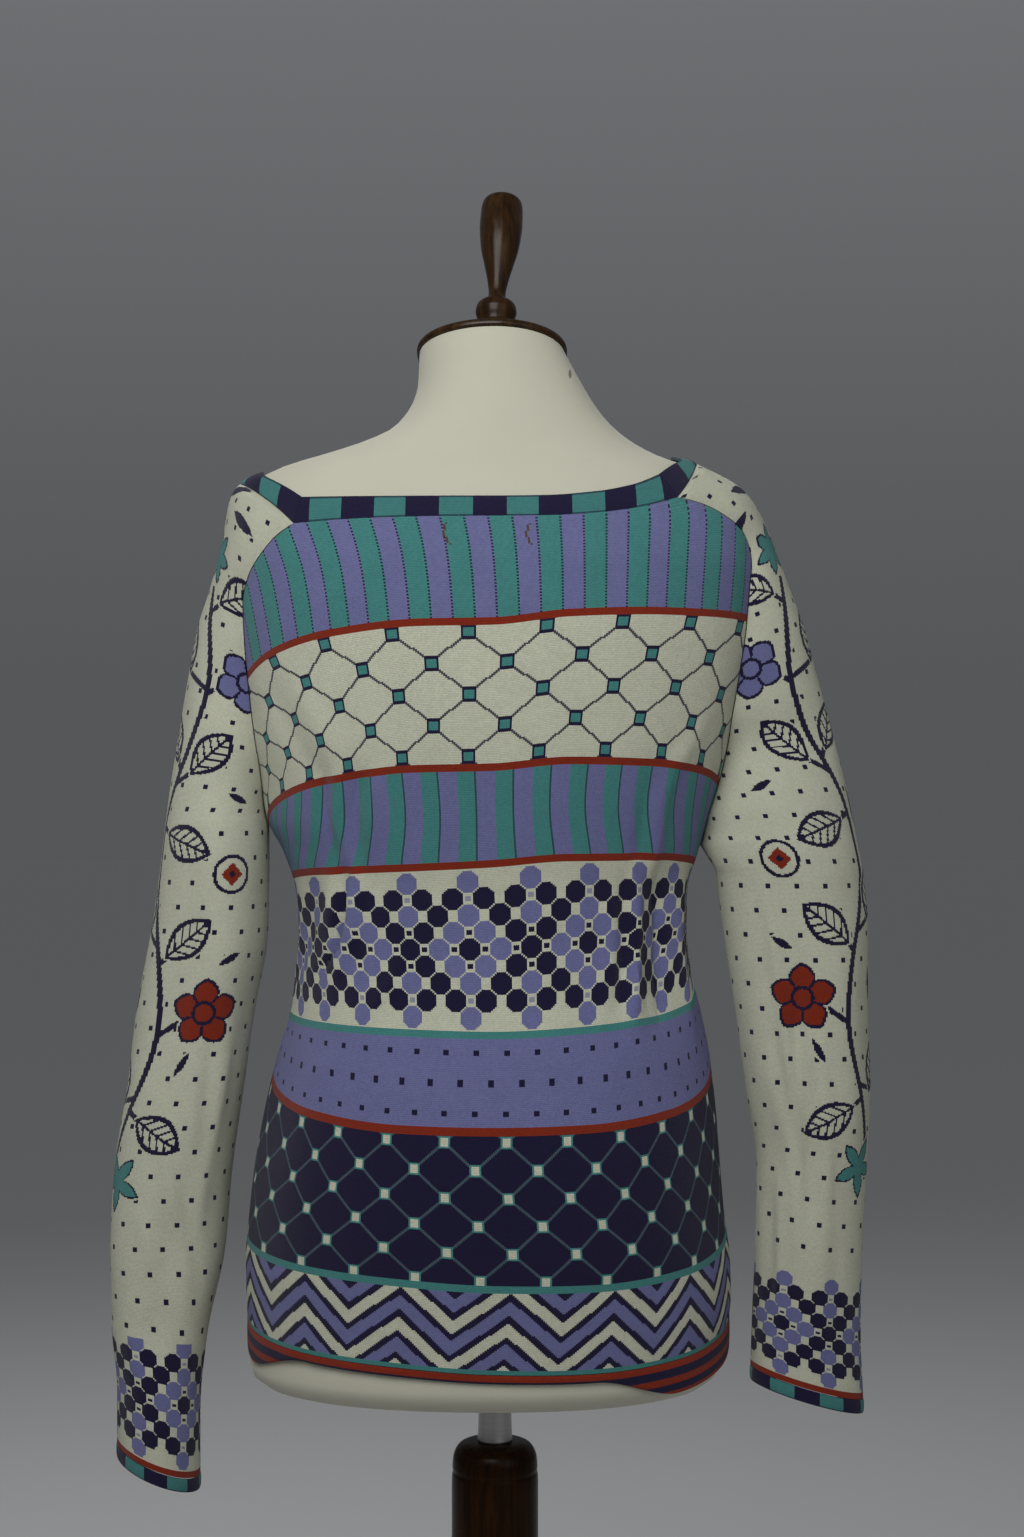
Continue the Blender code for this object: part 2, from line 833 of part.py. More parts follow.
def sleeve_fold_rise(folds, turn, height):
    """How far a sleeve's folds push its cloth out."""
    total = 0
    for fold in folds:
        across = (turn - fold.turn + 180) % 360 - 180
        span = fold.high - fold.low
        fade, swell = FOLD_FADE * span, (FOLD_SWELL - FOLD_FADE) * span
        ends = ramp(height, fold.low - fade, fold.low + swell)
        ends *= ramp(height, fold.high + fade, fold.high - swell)
        total += fold.rise * ends * math.exp(-((across / fold.width) ** 2))
    return total


def ring_point(rows, side, turn, height):
    """A point of the hanging sleeve: turn 0 is its inner edge, 90 its back, 180 its outer edge."""
    cut = SleeveRing(height, *(smooth(rows, "height", name, height) for name in SleeveRing._fields[1:]))
    along, deep = math.cos(math.radians(turn)), math.sin(math.radians(turn))
    fold = sleeve_fold_rise(FOLDS_LEFT if side > 0 else FOLDS_RIGHT, turn, height)
    x = (cut.inner + cut.outer) / 2 - ((cut.outer - cut.inner) / 2 + fold) * along
    y = (cut.back + cut.front) / 2 + ((cut.back - cut.front) / 2 + fold) * deep
    return Vector((side * x, y, height + cut.drop * along))


def pushed_out(point):
    """The point, or one out from it at its height that stands clear of the body's surface."""
    cut = section(point.z)
    half = cut.left if point.x > 0 else cut.right
    deep = cut.back if point.y > 0 else cut.front
    size = ((abs(point.x) / half) ** cut.power + (abs(point.y) / deep) ** cut.power) ** (1 / cut.power)
    least = 1 + SLEEVE_CLEAR / math.hypot(point.x, point.y)
    if size >= least:
        return point
    return Vector((point.x * least / size, point.y * least / size, point.z))


def cap_half(start, outer, depth, folds, facing):
    """Half a row of the cap: from the armhole seam round to the outermost line, on part of an ellipse."""
    deep = math.hypot(start.y, depth)
    lead = math.asin(min(1, abs(start.y) / deep))
    half_width = (abs(outer.x) - abs(start.x)) / (1 + math.cos(lead))
    middle = abs(outer.x) - half_width
    side = math.copysign(1, outer.x)
    points = []
    count = SLEEVE_COLUMNS // 2
    for i in range(count + 1):
        share = i / count
        turn = lead + (HALF - lead) * share
        height = start.z + (outer.z - start.z) * math.sin(share * QUARTER)
        degrees = math.degrees(turn) if facing > 0 else 360 - math.degrees(turn)
        fold = sleeve_fold_rise(folds, degrees, height) * math.sin(share * QUARTER) ** 0.5
        x = middle - (half_width + fold) * math.cos(turn)
        y = facing * (deep + fold) * math.sin(turn)
        points.append(pushed_out(Vector((side * x, y, height))) if i else start)
    return points


def sleeve_grid(side, rows):
    """Rows of points from the trim down to the cuff, and the places of those on a seam.

    The cap's rows are open, and those of the tube go round.
    """
    back, front = armhole(side, False), armhole(side, True)
    shoulder = SHOULDER_LEFT if side > 0 else SHOULDER_RIGHT
    folds = FOLDS_LEFT if side > 0 else FOLDS_RIGHT
    top = over_shoulder(side, abs(on_torso(*back[-1]).x), back[-1].height, shoulder.outer_ridge)
    outer = outer_line(side)
    grid = [[on_torso(*place) for place in top]]
    for i in range(ARMHOLE_ROWS - 1, -1, -1):
        fullness = (1 - i / ARMHOLE_ROWS) ** CAP_FULLNESS
        back_half = cap_half(on_torso(*back[i]), outer[i], rows[0].back * fullness, folds, 1)
        front_half = cap_half(on_torso(*front[i]), outer[i], -rows[0].front * fullness, folds, -1)
        grid.append(back_half + front_half[-2::-1])
    grid[-1].pop()
    for r in range(SLEEVE_ROWS + 1):
        height = rows[0].height + (rows[-1].height - rows[0].height) * r / SLEEVE_ROWS
        turns = [360 * c / SLEEVE_COLUMNS for c in range(SLEEVE_COLUMNS)]
        grid.append([ring_point(rows, side, turn, height) for turn in turns])
    seams = {(0, c): place for c, place in enumerate(top)}
    for i in range(1, ARMHOLE_ROWS + 1):
        seams[ARMHOLE_ROWS - i, 0] = back[i]
        seams[ARMHOLE_ROWS - i, SLEEVE_COLUMNS] = front[i]
    return grid, seams


def way_out(grid, side, row, column):
    """The way out of the sleeve's cloth at a point of its grid."""
    line = grid[row]
    above, below = grid[max(row - 1, 0)], grid[min(row + 1, len(grid) - 1)]
    tube = row >= ARMHOLE_ROWS
    after = line[(column + 1) % len(line)] if tube else line[min(column + 1, len(line) - 1)]
    before = line[column - 1] if tube else line[max(column - 1, 0)]
    downward = below[column % len(below)] - above[column % len(above)]
    return (after - before).cross(downward).normalized() * side


def sewn(grid, side, row, column, place):
    """(point, way out) of a point on the seam, moved off it to leave the gap.

    Where the sleeve lies in line with the body, the way is the body's, and their walls meet edge to edge.
    Where it folds back over the body, the way is its own, and its edge stands off the body's face.
    """
    point, body_way = grid[row][column], torso_normal(*place)
    inner_column = min(max(column, 1), SLEEVE_COLUMNS - 1)
    inward = (grid[max(row, 1)][inner_column] - point).normalized()
    way = way_out(grid, side, row, column) if inward.dot(body_way) > 0 else body_way
    lift = (1 - way.dot(body_way)) * SEAM
    return point + inward * SEAM + body_way * lift, way


def make_sleeve(side, name, rows):
    """A sleeve: a cap set into the armhole, and a slack tube below it."""
    grid, seams = sleeve_grid(side, rows)
    dressed = [
        [(point, way_out(grid, side, r, c)) for c, point in enumerate(row)] for r, row in enumerate(grid)
    ]
    for (r, c), place in seams.items():
        dressed[r][c] = sewn(grid, side, r, c, place)
    underarm = grid[ARMHOLE_ROWS][0]
    dressed[ARMHOLE_ROWS][0] = (underarm + Vector((side * UNDERARM_GAP, 0, 0)), DOWN)
    wall(f"sleeve_{name}", dressed, JERSEY, closed_from=ARMHOLE_ROWS)
    cuff = [[(point + DOWN * drop, way) for point, way in dressed[-1]] for drop in (SEAM, CUFF_HEIGHT)]
    wall(f"cuff_trim_{name}", cuff, TRIM, closed_from=0)


# ---------------------------------------------------------------- the form and its stand


def form_ring(height, inset=0.0, tilted=0.0):
    """A ring of the form's skin."""
    gap = WALL + smooth(CLEARANCES, "height", "gap", height) + inset
    plate = ramp(height, ARM_PLATE_FROM, ARM_PLATE_FROM + ARM_PLATE_EASE)
    plate *= ramp(height, ARM_PLATE_TO, ARM_PLATE_TO - ARM_PLATE_EASE)
    ring = []
    for i in range(FORM_COLUMNS):
        angle = 2 * math.pi * i / FORM_COLUMNS
        side = abs(math.sin(angle)) ** ARM_PLATE_POWER * plate * ARM_PLATE
        point = on_torso(angle, height) - torso_normal(angle, height) * (gap + side)
        if inset or height >= NECK_TOP:
            point.z = height
        point.z += tilted * (point.y - NECK_MIDDLE) * math.tan(NECK_TILT)
        ring.append(point)
    return ring


def make_form():
    """The padded torso: its underside is flat, and its neck is cut at a slant. Gives its top ring."""
    rings = [form_ring(row.along, row.radius) for row in FORM_FOOT]
    for height in FORM_HEIGHTS:
        rings.append(form_ring(height, tilted=ramp(height, NECK_TILT_FROM, NECK_TOP)))
    loft("form_torso", rings, FORM_CLOTH)
    return rings[-1]


def make_cap_and_knob(neck):
    """The wooden plate on the form's neck, and the turned knob on the plate."""
    middle = sum(neck, Vector()) / len(neck)
    upward = Vector((1, 0, 0)).cross(Vector((0, math.cos(NECK_TILT), math.sin(NECK_TILT))))
    rings = []
    for edge in CAP_EDGE:
        lift = upward * (SEAM + edge.rise)
        rings.append([point + (point - middle).normalized() * edge.spread + lift for point in neck])
    loft("neck_cap", rings, WOOD)
    axis = Matrix.Rotation(-KNOB_LEAN, 3, "Y") @ upward
    stand_off = SEAM + CAP_EDGE[-1].rise + KNOB_GAP
    foot = middle + upward * stand_off + axis * KNOB[0].radius * math.sin(KNOB_LEAN)
    make_turned("neck_knob", KNOB, foot, axis, KNOB_SIDES)


def make_turned(name, outline, foot, axis, sides, finish=WOOD):
    """A round piece turned on an axis that starts at its foot."""
    turn = axis.to_track_quat("Z", "Y").to_matrix()
    turns = [2 * math.pi * k / sides for k in range(sides)]
    rings = []
    for row in outline:
        ring = [Vector((math.cos(a) * row.radius, math.sin(a) * row.radius, row.along)) for a in turns]
        rings.append([foot + turn @ point for point in ring])
    loft(name, rings, finish)


def make_stand():
    """The base, the post and the steel peg that carries the form."""
    origin, up = Vector(), -DOWN
    make_turned("base", BASE, origin, up, BASE_SIDES)
    make_turned("post", POST, origin, up, POST_SIDES)
    make_turned("peg", PEG, origin, up, PEG_SIDES, STEEL)


def main():
    clear_scene()
    make_stand()
    make_cap_and_knob(make_form())
    make_panels()
    make_neck_trims()
    make_ribs()
    make_bands()
    make_buttons()
    make_sleeve(1, "left", SLEEVE_LEFT)
    make_sleeve(-1, "right", SLEEVE_RIGHT)


main()
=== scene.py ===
"""The button cardigan on its limbless form and turned stand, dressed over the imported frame.

Tables are in millimetres and meshes in metres, +Z up. The wearer faces -Y, and the wearer's left is +X.
A place on the body is an angle and a height: 0 is the middle of the back, a quarter turn the wearer's left.
"""

import logging
import math
from collections.abc import Sequence
from dataclasses import dataclass
from enum import Enum, IntEnum
from typing import NamedTuple

import bpy
import numpy as np
from mathutils import Matrix, Vector


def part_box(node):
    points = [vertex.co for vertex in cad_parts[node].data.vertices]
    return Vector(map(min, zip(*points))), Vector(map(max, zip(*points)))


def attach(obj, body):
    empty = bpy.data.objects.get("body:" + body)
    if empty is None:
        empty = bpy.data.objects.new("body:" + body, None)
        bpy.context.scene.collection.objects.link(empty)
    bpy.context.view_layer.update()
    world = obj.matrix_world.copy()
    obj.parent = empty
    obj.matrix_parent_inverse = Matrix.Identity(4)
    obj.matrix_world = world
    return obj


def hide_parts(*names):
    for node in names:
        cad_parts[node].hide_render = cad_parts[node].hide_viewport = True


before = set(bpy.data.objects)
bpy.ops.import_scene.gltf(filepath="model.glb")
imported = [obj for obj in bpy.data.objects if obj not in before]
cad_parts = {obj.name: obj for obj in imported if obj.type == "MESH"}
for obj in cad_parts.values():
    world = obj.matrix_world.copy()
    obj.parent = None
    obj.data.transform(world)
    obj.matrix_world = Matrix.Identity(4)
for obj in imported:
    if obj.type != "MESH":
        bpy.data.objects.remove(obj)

LOG = logging.getLogger("cardigan")
Array = np.ndarray
# The angle and the height of each point of a line on the body.
Line = tuple[Array, Array]
Object = bpy.types.Object
Material = bpy.types.Material
Socket = bpy.types.NodeSocket

MM = 0.001
WALL = 1.6
TRIM_WALL = 2.0
SEAM = 0.35
QUARTER = math.pi / 2
HALF = math.pi
BODY = "root"
TORSO = "form_torso"


class Side(IntEnum):
    """A side of the wearer, by its way along X."""

    LEFT = 1
    RIGHT = -1

    @property
    def word(self) -> str:
        """What the pieces' names call it."""
        return self.name.lower()


LEFT, RIGHT = Side.LEFT, Side.RIGHT

# ---------------------------------------------------------------- smooth tables


def smooth(keys: Sequence[float], values: Sequence[float], at: Array | float) -> Array:
    """A smooth curve through the knots of a table.

    Args:
        keys: The knots' keys, rising or falling.
        values: The curve's value at each key.
        at: Where the curve is wanted.

    Returns:
        The curve's values.
    """
    k, v = np.array(keys, float), np.array(values, float)
    if k[0] > k[-1]:
        k, v = k[::-1], v[::-1]
    steep = np.diff(v) / np.diff(k)
    product = steep[:-1] * steep[1:]
    total = np.where(product > 0, steep[:-1] + steep[1:], 1)
    middle = np.where(product > 0, 2 * product / total, 0)
    slope = np.concatenate([steep[:1], middle, steep[-1:]])
    at = np.clip(np.asarray(at, float), k[0], k[-1])
    low = np.clip(np.searchsorted(k, at, side="right") - 1, 0, len(k) - 2)
    span = k[low + 1] - k[low]
    t = (at - k[low]) / span
    return (
        (2 * t**3 - 3 * t**2 + 1) * v[low]
        + (t**3 - 2 * t**2 + t) * span * slope[low]
        + (3 * t**2 - 2 * t**3) * v[low + 1]
        + (t**3 - t**2) * span * slope[low + 1]
    )


def column(rows: Sequence[NamedTuple], key: str, name: str, at: Array | float) -> Array:
    """One column of a table of rows, read on a smooth curve by its key column."""
    return smooth([getattr(r, key) for r in rows], [getattr(r, name) for r in rows], at)


def table(kind: type[tuple], *rows: tuple) -> tuple:
    """A table, each of its rows made one of its kind."""
    return tuple(kind(*row) for row in rows)


def through(knots: Array, runs: Array, at: Array) -> Array:
    """Points of the smooth line through knots, where the line has run so far to each."""
    return np.stack([smooth(runs, values, at) for values in knots.T], axis=-1)


def ramp(value: Array | float, start: float, end: float) -> Array:
    """Rises smoothly from 0 at start to 1 at end."""
    t = np.clip((np.asarray(value, float) - start) / (end - start), 0, 1)
    return t * t * (3 - 2 * t)


def unit(vectors: Array) -> Array:
    """The vectors, each made one long."""
    return vectors / np.maximum(np.linalg.norm(vectors, axis=-1, keepdims=True), 1e-12)


def running(points: Array) -> Array:
    """The distance along a line, or along each line of a grid's rows, to each of its points."""
    steps = np.linalg.norm(np.diff(points, axis=-2), axis=-1)
    return np.concatenate([np.zeros((*steps.shape[:-1], 1)), np.cumsum(steps, axis=-1)], axis=-1)


# ---------------------------------------------------------------- the body's surface


class Section(NamedTuple):
    """A level cut through the cardigan's outer face: half widths, depths from the axis, and roundness."""

    height: float
    left: float
    right: float
    back: float
    front: float
    power: float


SECTIONS = table(
    Section,
    (745, 176, 164, 102, 98, 2.2), (770, 180, 168, 112, 104, 2.2),
    (811, 183, 174, 117, 108, 2.2), (840, 183.5, 173, 120, 110, 2.2),
    (870, 181, 169, 121, 110, 2.2), (905, 177, 166, 120, 108, 2.2),
    (945, 170, 163, 114, 105, 2.2), (988, 160, 158, 103, 98, 2.2), (1018, 151, 152, 93, 93, 2.2),
    (1047, 147.5, 145, 86, 90, 2.2), (1080, 145, 141.5, 82, 89, 2.2),
    (1107, 147, 142, 82, 92, 2.2), (1136, 156, 150, 86, 100, 2.25),
    (1160, 168, 157, 90, 111, 2.3), (1190, 173, 166, 95, 121, 2.35),
    (1220, 180, 173, 99, 125, 2.4), (1265, 186, 184, 102, 122, 2.4),
    (1300, 190, 190, 103, 112, 2.4), (1340, 193, 193, 99, 98, 2.4),
    (1370, 193.5, 191, 87, 84, 2.35), (1390, 193, 185, 74, 72, 2.3),
    (1400, 191, 178, 68, 68, 2.25), (1407, 188, 170, 64.5, 66, 2.2),
    (1416, 171, 157, 61, 65, 2.2), (1422, 158, 148, 59.5, 65, 2.2),
    (1426, 146, 133, 58.5, 65.5, 2.15), (1431, 128, 120, 57, 66, 2.1),
    (1440, 97, 102, 55, 67, 2.1), (1447, 79.5, 92, 53.5, 68, 2.05), (1454, 71, 84, 52, 69, 2),
    (1462, 64.5, 77, 50, 70, 2), (1475, 59.8, 67.5, 47, 71.5, 2), (1497, 58.5, 54, 42, 75, 2),
)


class Fold(NamedTuple):
    """A soft fold on the body: its two ends in degrees and height, its width, and how far it stands out."""

    from_angle: float
    from_height: float
    to_angle: float
    to_height: float
    width: float
    rise: float


BODY_FOLDS = table(
    Fold,
    (52, 1118, 62, 1050, 9, 4.5), (66, 1120, 80, 1040, 10, -3), (-50, 1110, -47, 1000, 8, 4),
    (-63, 1130, -58, 1020, 9, -3), (-74, 1120, -70, 1010, 9, 4), (130, 1110, 118, 1030, 10, 4),
    (-128, 1115, -120, 1020, 10, 4),
)
FOLD_FADE = 0.15
FOLD_SWELL = 0.3


def fold_ends(along: Array) -> Array:
    """How a fold swells and dies away on its way from its upper end, at 0, to its lower one, at 1."""
    return ramp(along, -FOLD_FADE, FOLD_SWELL) * ramp(along, 1 + FOLD_FADE, 1 - FOLD_SWELL)


class Crease(NamedTuple):
    """A crease in the cloth: its line, as distances round from the middle and heights, its width and rise."""

    line: tuple[tuple[float, float], ...]
    width: float
    rise: float


BACK_CREASES = table(
    Crease,
    (((109, 1126), (111, 1092), (117, 1070), (128, 1056), (136, 1046)), 2.8, -6.5),
    (((100, 1124), (103, 1090), (110, 1062), (124, 1044)), 6, 4.2),
    (((121, 1120), (124, 1094), (136, 1072)), 7, 3.6),
    (((66, 1062), (72, 1044), (88, 1030)), 7, 2.6),
    (((-94, 1118), (-95, 1070), (-92, 1030)), 4, -4.4),
    (((-103, 1124), (-105, 1080), (-101, 1016)), 5, 4.2),
    (((-122, 1124), (-127, 1080), (-126, 1014)), 4, -4.2),
    (((-84, 1108), (-84, 1060), (-78, 1020)), 6, 2.6),
    (((96, 1194), (101, 1164), (98, 1130)), 5, -3.6),
    (((84, 1192), (88, 1160), (88, 1130)), 5.5, 2.8),
    (((112, 1200), (114, 1160), (107, 1126)), 5.5, 3.2),
    (((128, 1204), (124, 1162), (116, 1126)), 4.5, -3.4),
    (((150, 1262), (128, 1226), (112, 1196)), 9, 2.4),
    (((168, 1248), (146, 1212), (128, 1184)), 8, -2.4),
    (((-160, 1232), (-132, 1196), (-114, 1160)), 8, 2.4),
    (((-112, 1190), (-108, 1156), (-104, 1126)), 5, -2.8),
    (((-126, 1184), (-122, 1150), (-118, 1122)), 5, 2.6),
    (((104, 1004), (128, 984), (150, 976)), 8, 1.4),
    (((-110, 1000), (-132, 984), (-150, 976)), 8, 1.3),
    (((40, 872), (90, 862), (140, 868)), 11, 0.9),
    (((-30, 858), (-84, 850), (-136, 862)), 11, 0.9),
    (((30, 1118), (34, 1080), (26, 1046)), 12, 0.8),
    (((-40, 1112), (-38, 1076), (-44, 1040)), 11, 0.8),
)
FRONT_CREASES = table(
    Crease,
    (((108, 1128), (104, 1080), (112, 1036)), 7, 2.2),
    (((128, 1124), (120, 1082), (128, 1040)), 5, -2.2),
    (((60, 1110), (64, 1070), (58, 1030)), 9, 1.4),
    (((104, 1192), (112, 1160), (104, 1130)), 7, 1.8),
    (((140, 1250), (116, 1210), (104, 1178)), 9, 1.4),
    (((30, 880), (80, 866), (130, 872)), 11, 0.9),
)


def bumps(creases: Sequence[Crease], run: Array, height: Array) -> Array:
    """How far creases push the cloth out.

    Args:
        creases: The creases.
        run: Distance round the body from the middle.
        height: Height of each point.

    Returns:
        The rise at each point, in millimetres.
    """
    total = np.zeros_like(run)
    for crease in creases:
        knots = np.array(crease.line, float)
        lengths = running(knots)
        nearest = np.full_like(run, np.inf)
        along = np.zeros_like(run)
        for a, b, start in zip(knots, knots[1:], lengths):
            step = b - a
            share = ((run - a[0]) * step[0] + (height - a[1]) * step[1]) / (step @ step)
            share = np.clip(share, 0, 1)
            away = np.hypot(run - a[0] - share * step[0], height - a[1] - share * step[1])
            closer = away < nearest
            nearest = np.where(closer, away, nearest)
            along = np.where(closer, start + share * np.hypot(*step), along)
        part = along / lengths[-1]
        swell = np.sqrt(np.clip(np.sin(np.pi * np.clip(part, 0.03, 0.97)), 0, 1))
        total += crease.rise * swell * np.exp(-((nearest / crease.width) ** 2))
    return total


class Body:
    """The cardigan's outer face round the body."""

    BAND_HALF = 14
    LAP_RISE = 2.6
    LAP_RUN = 45

    def cut(self, height: Array) -> dict[str, Array]:
        """The section at each height, by the name of its measure."""
        return {n: column(SECTIONS, "height", n, height) for n in Section._fields[1:]}

    def flatness(self, cut: dict[str, Array]) -> Array:
        """The root of how much wider than deep a section is."""
        return np.sqrt((cut["left"] + cut["right"]) / (cut["back"] + cut["front"]))

    def share_out(self, x: Array, y: Array, height: Array) -> Array:
        """How far from the axis a place lies, as a share of the way out to the face."""
        cut = self.cut(height)
        half = np.where(x > 0, cut["left"], cut["right"])
        deep = np.where(y > 0, cut["back"], cut["front"])
        return ((abs(x) / half) ** cut["power"] + (abs(y) / deep) ** cut["power"]) ** (1 / cut["power"])

    def point(self, angle: Array, height: Array) -> Array:
        """The point at an angle and a height."""
        angle, height = np.broadcast_arrays(np.asarray(angle, float), np.asarray(height, float))
        x, y = self.flatness(self.cut(height)) * np.sin(angle), np.cos(angle)
        scale = 1 / self.share_out(x, y, height)
        return np.stack([x * scale, y * scale, height], axis=-1)

    def way(self, angle: Array, height: Array) -> Array:
        """The way out of the face."""
        step, rise = 0.01, 1.5
        around = self.point(angle + step, height) - self.point(angle - step, height)
        upward = self.point(angle, height + rise) - self.point(angle, height - rise)
        return unit(np.cross(upward, around))

    def angle_at(self, reach: Array, height: Array, front: bool = False) -> Array:
        """Finds where the face is so far to one side of the middle.

        Args:
            reach: How far to the wearer's left, or below 0 to the right.
            height: Height of each point.
            front: Whether the place is on the front.

        Returns:
            The angles.
        """
        cut = self.cut(height)
        reach = np.asarray(reach, float)
        share = np.minimum(1, abs(reach) / np.where(reach > 0, cut["left"], cut["right"]))
        y = (cut["front"] if front else cut["back"]) * (1 - share ** cut["power"]) ** (1 / cut["power"])
        return np.copysign(np.arctan2(abs(reach) / self.flatness(cut), -y if front else y), reach)

    def folds(self, angle: Array, height: Array) -> Array:
        """How far the main folds push the cloth out."""
        cut = self.cut(height)
        total = np.zeros_like(angle)
        for fold in BODY_FOLDS:
            along = (fold.from_height - height) / (fold.from_height - fold.to_height)
            share = np.clip(along, 0, 1)
            middle = np.radians(fold.from_angle + (fold.to_angle - fold.from_angle) * share)
            across = (angle - middle) * (cut["left"] + cut["back"]) / 2
            total = total + fold.rise * fold_ends(along) * np.exp(-((across / fold.width) ** 2))
        return total

    def lap(self, angle: Array, height: Array) -> Array:
        """How far the wearer's right front stands out near its edge, to lie over the button band."""
        reach = abs(self.point(angle, height)[..., 0])
        rise = self.LAP_RISE * ramp(reach, self.BAND_HALF + self.LAP_RUN, self.BAND_HALF)
        return np.where(angle < -QUARTER, rise, 0)

    def cloth(self, angle: Array, height: Array, extra: Array | float = 0) -> Array:
        """Lays out the cloth's outer face, with its folds and its lap.

        Args:
            angle: Angle of each point.
            height: Height of each point.
            extra: How much further out it lies.

        Returns:
            The points.
        """
        angle, height = np.broadcast_arrays(np.asarray(angle, float), np.asarray(height, float))
        rise = self.folds(angle, height) + self.lap(angle, height) + extra
        return self.point(angle, height) + self.way(angle, height) * rise[..., None]


BODY_FACE = Body()

# ---------------------------------------------------------------- seams and lines on the body


class SeamRow(NamedTuple):
    """A point of a seam: its height, and how far it lies from the middle."""

    height: float
    reach: float


SEAM_STEPS = 160
UNDERARM = {LEFT: 1157.0, RIGHT: 1141.0}
ARMHOLES = {
    LEFT: table(
        SeamRow,
        (1182, 170), (1220, 174), (1265, 179), (1295, 181), (1319, 181.5), (1336, 176.5),
        (1350, 167.5), (1363, 156), (1372, 143),
    ),
    RIGHT: table(
        SeamRow,
        (1168, 158), (1203, 168), (1240, 173), (1278, 179), (1324, 184), (1350, 186),
        (1366, 181), (1378, 168), (1387, 150), (1391.5, 131),
    ),
}


def armhole_knots(side: Side, front: bool) -> Array:
    """The armhole seam's knots, as angles and heights, from the underarm up."""
    rows = ARMHOLES[side]
    heights = np.array([r.height for r in rows], float)
    angles = BODY_FACE.angle_at(side * np.array([r.reach for r in rows]), heights, front)
    places = np.stack([angles, heights], axis=-1)
    return np.concatenate([[[side * QUARTER, UNDERARM[side]]], places])


def armhole(side: Side, front: bool, count: int) -> Array:
    """The armhole seam's places, evenly spaced from the underarm to the neck trim's outer corner."""
    knots = armhole_knots(side, front)
    runs = running(BODY_FACE.point(*knots.T))
    return through(knots, runs, np.linspace(0, runs[-1], count + 1))


def end_angle(side: Side, height: Array, front: bool) -> Array:
    """The angle of a panel's edge: the side seam, or the armhole above the underarm."""
    seam = armhole(side, front, SEAM_STEPS)
    return np.where(height <= UNDERARM[side], side * QUARTER, np.interp(height, seam[:, 1], seam[:, 0]))


BACK_SHARES = (1, 0.8, 0.6, 0.3, 0, -0.3, -0.6, -0.8, -1)
LINE_POWER = 3.0


class Level(NamedTuple):
    """Heights of a line round the body: across the back at the back's shares, and at the front's middle."""

    back: tuple[float, ...]
    front: float

    @classmethod
    def worn(
        cls, middle: float, left: float, right: float, front: float, left_bow: float = 0, right_bow: float = 0
    ) -> "Level":
        """A line that leaves its middle height late on its way to both ends.

        Args:
            middle: Its height in the middle of the back.
            left: Its height at the wearer's left end.
            right: Its height at the wearer's right end.
            front: Its height in the middle of the front.
            left_bow: How far it rides up half-way to the left end.
            right_bow: How far it rides up half-way to the right end.

        Returns:
            The line.
        """
        back = []
        for share in BACK_SHARES:
            end, bow = (left, left_bow) if share > 0 else (right, right_bow)
            far = abs(share)
            back.append(middle + (end - middle) * far**LINE_POWER + bow * (1 - (2 * far - 1) ** 2))
        return cls(tuple(back), front)

    def end(self, side: Side) -> float:
        """Its height at the wearer's left or right end."""
        return self.back[0] if side > 0 else self.back[-1]

    def middle(self) -> float:
        """Its height in the middle of the back."""
        return self.back[len(self.back) // 2]

    def raised(self, by: float) -> "Level":
        """The line moved straight up."""
        return Level(tuple(h + by for h in self.back), self.front + by)

    def towards(self, other: "Level", share: float) -> "Level":
        """The line part of the way to another."""
        back = tuple(a + (b - a) * share for a, b in zip(self.back, other.back))
        return Level(back, self.front + (other.front - self.front) * share)


def across_back(level: Level, columns: int, ends: Sequence[float] = ()) -> Line:
    """A line of the back, as angles and heights.

    Args:
        level: The line.
        columns: How many columns its points part.
        ends: The angles of its left and its right end, or nothing where it runs from edge to edge.

    Returns:
        The angle and the height of each point, from the wearer's left to the right.
    """
    left, right = ends or [float(end_angle(side, np.array(level.end(side)), False)) for side in Side]
    angle = np.linspace(left, right, columns + 1)
    return angle, smooth(BACK_SHARES, level.back, np.where(angle > 0, angle / left, -angle / right))


def from_middle(angle: Array, run: Array) -> Array:
    """Distances along rows, counted leftwards from where each row crosses the middle of the back."""
    zero = np.array([np.interp(0, a[::-1], r[::-1]) for a, r in zip(angle, run)])
    return zero[:, None] - run


NECK_OUTER = Level.worn(1375.5, 1372, 1391.5, 1345)
NECK_INNER = Level.worn(1391, 1392, 1409, 1361)


def across_front(side: Side, level: Level, end: tuple[float, float], columns: int) -> Line:
    """A line of a front.

    Args:
        side: The wearer's side.
        level: The line.
        end: The angle and height at which it starts.
        columns: How many columns its points part.

    Returns:
        The angle and the height of each point, up to the front band.
    """
    edge = float(BODY_FACE.angle_at(side * (Body.BAND_HALF + SEAM), np.array(level.front), True))
    angle = np.linspace(end[0], edge, columns + 1)
    share = ((side * HALF - angle) / (side * HALF - end[0])) ** LINE_POWER
    return angle, level.front + (end[1] - level.front) * share


# ---------------------------------------------------------------- materials


class Yarn(Enum):
    """The yarns of the knit, in linear colour."""

    CREAM = (0.53, 0.54, 0.42)
    TEAL = (0.054, 0.215, 0.2)
    LILAC = (0.145, 0.15, 0.31)
    RED = (0.21, 0.021, 0.0065)
    NAVY = (0.0105, 0.008, 0.034)
    PALE_TEAL = (0.12, 0.2, 0.22)
    BROWN = (0.09, 0.055, 0.035)


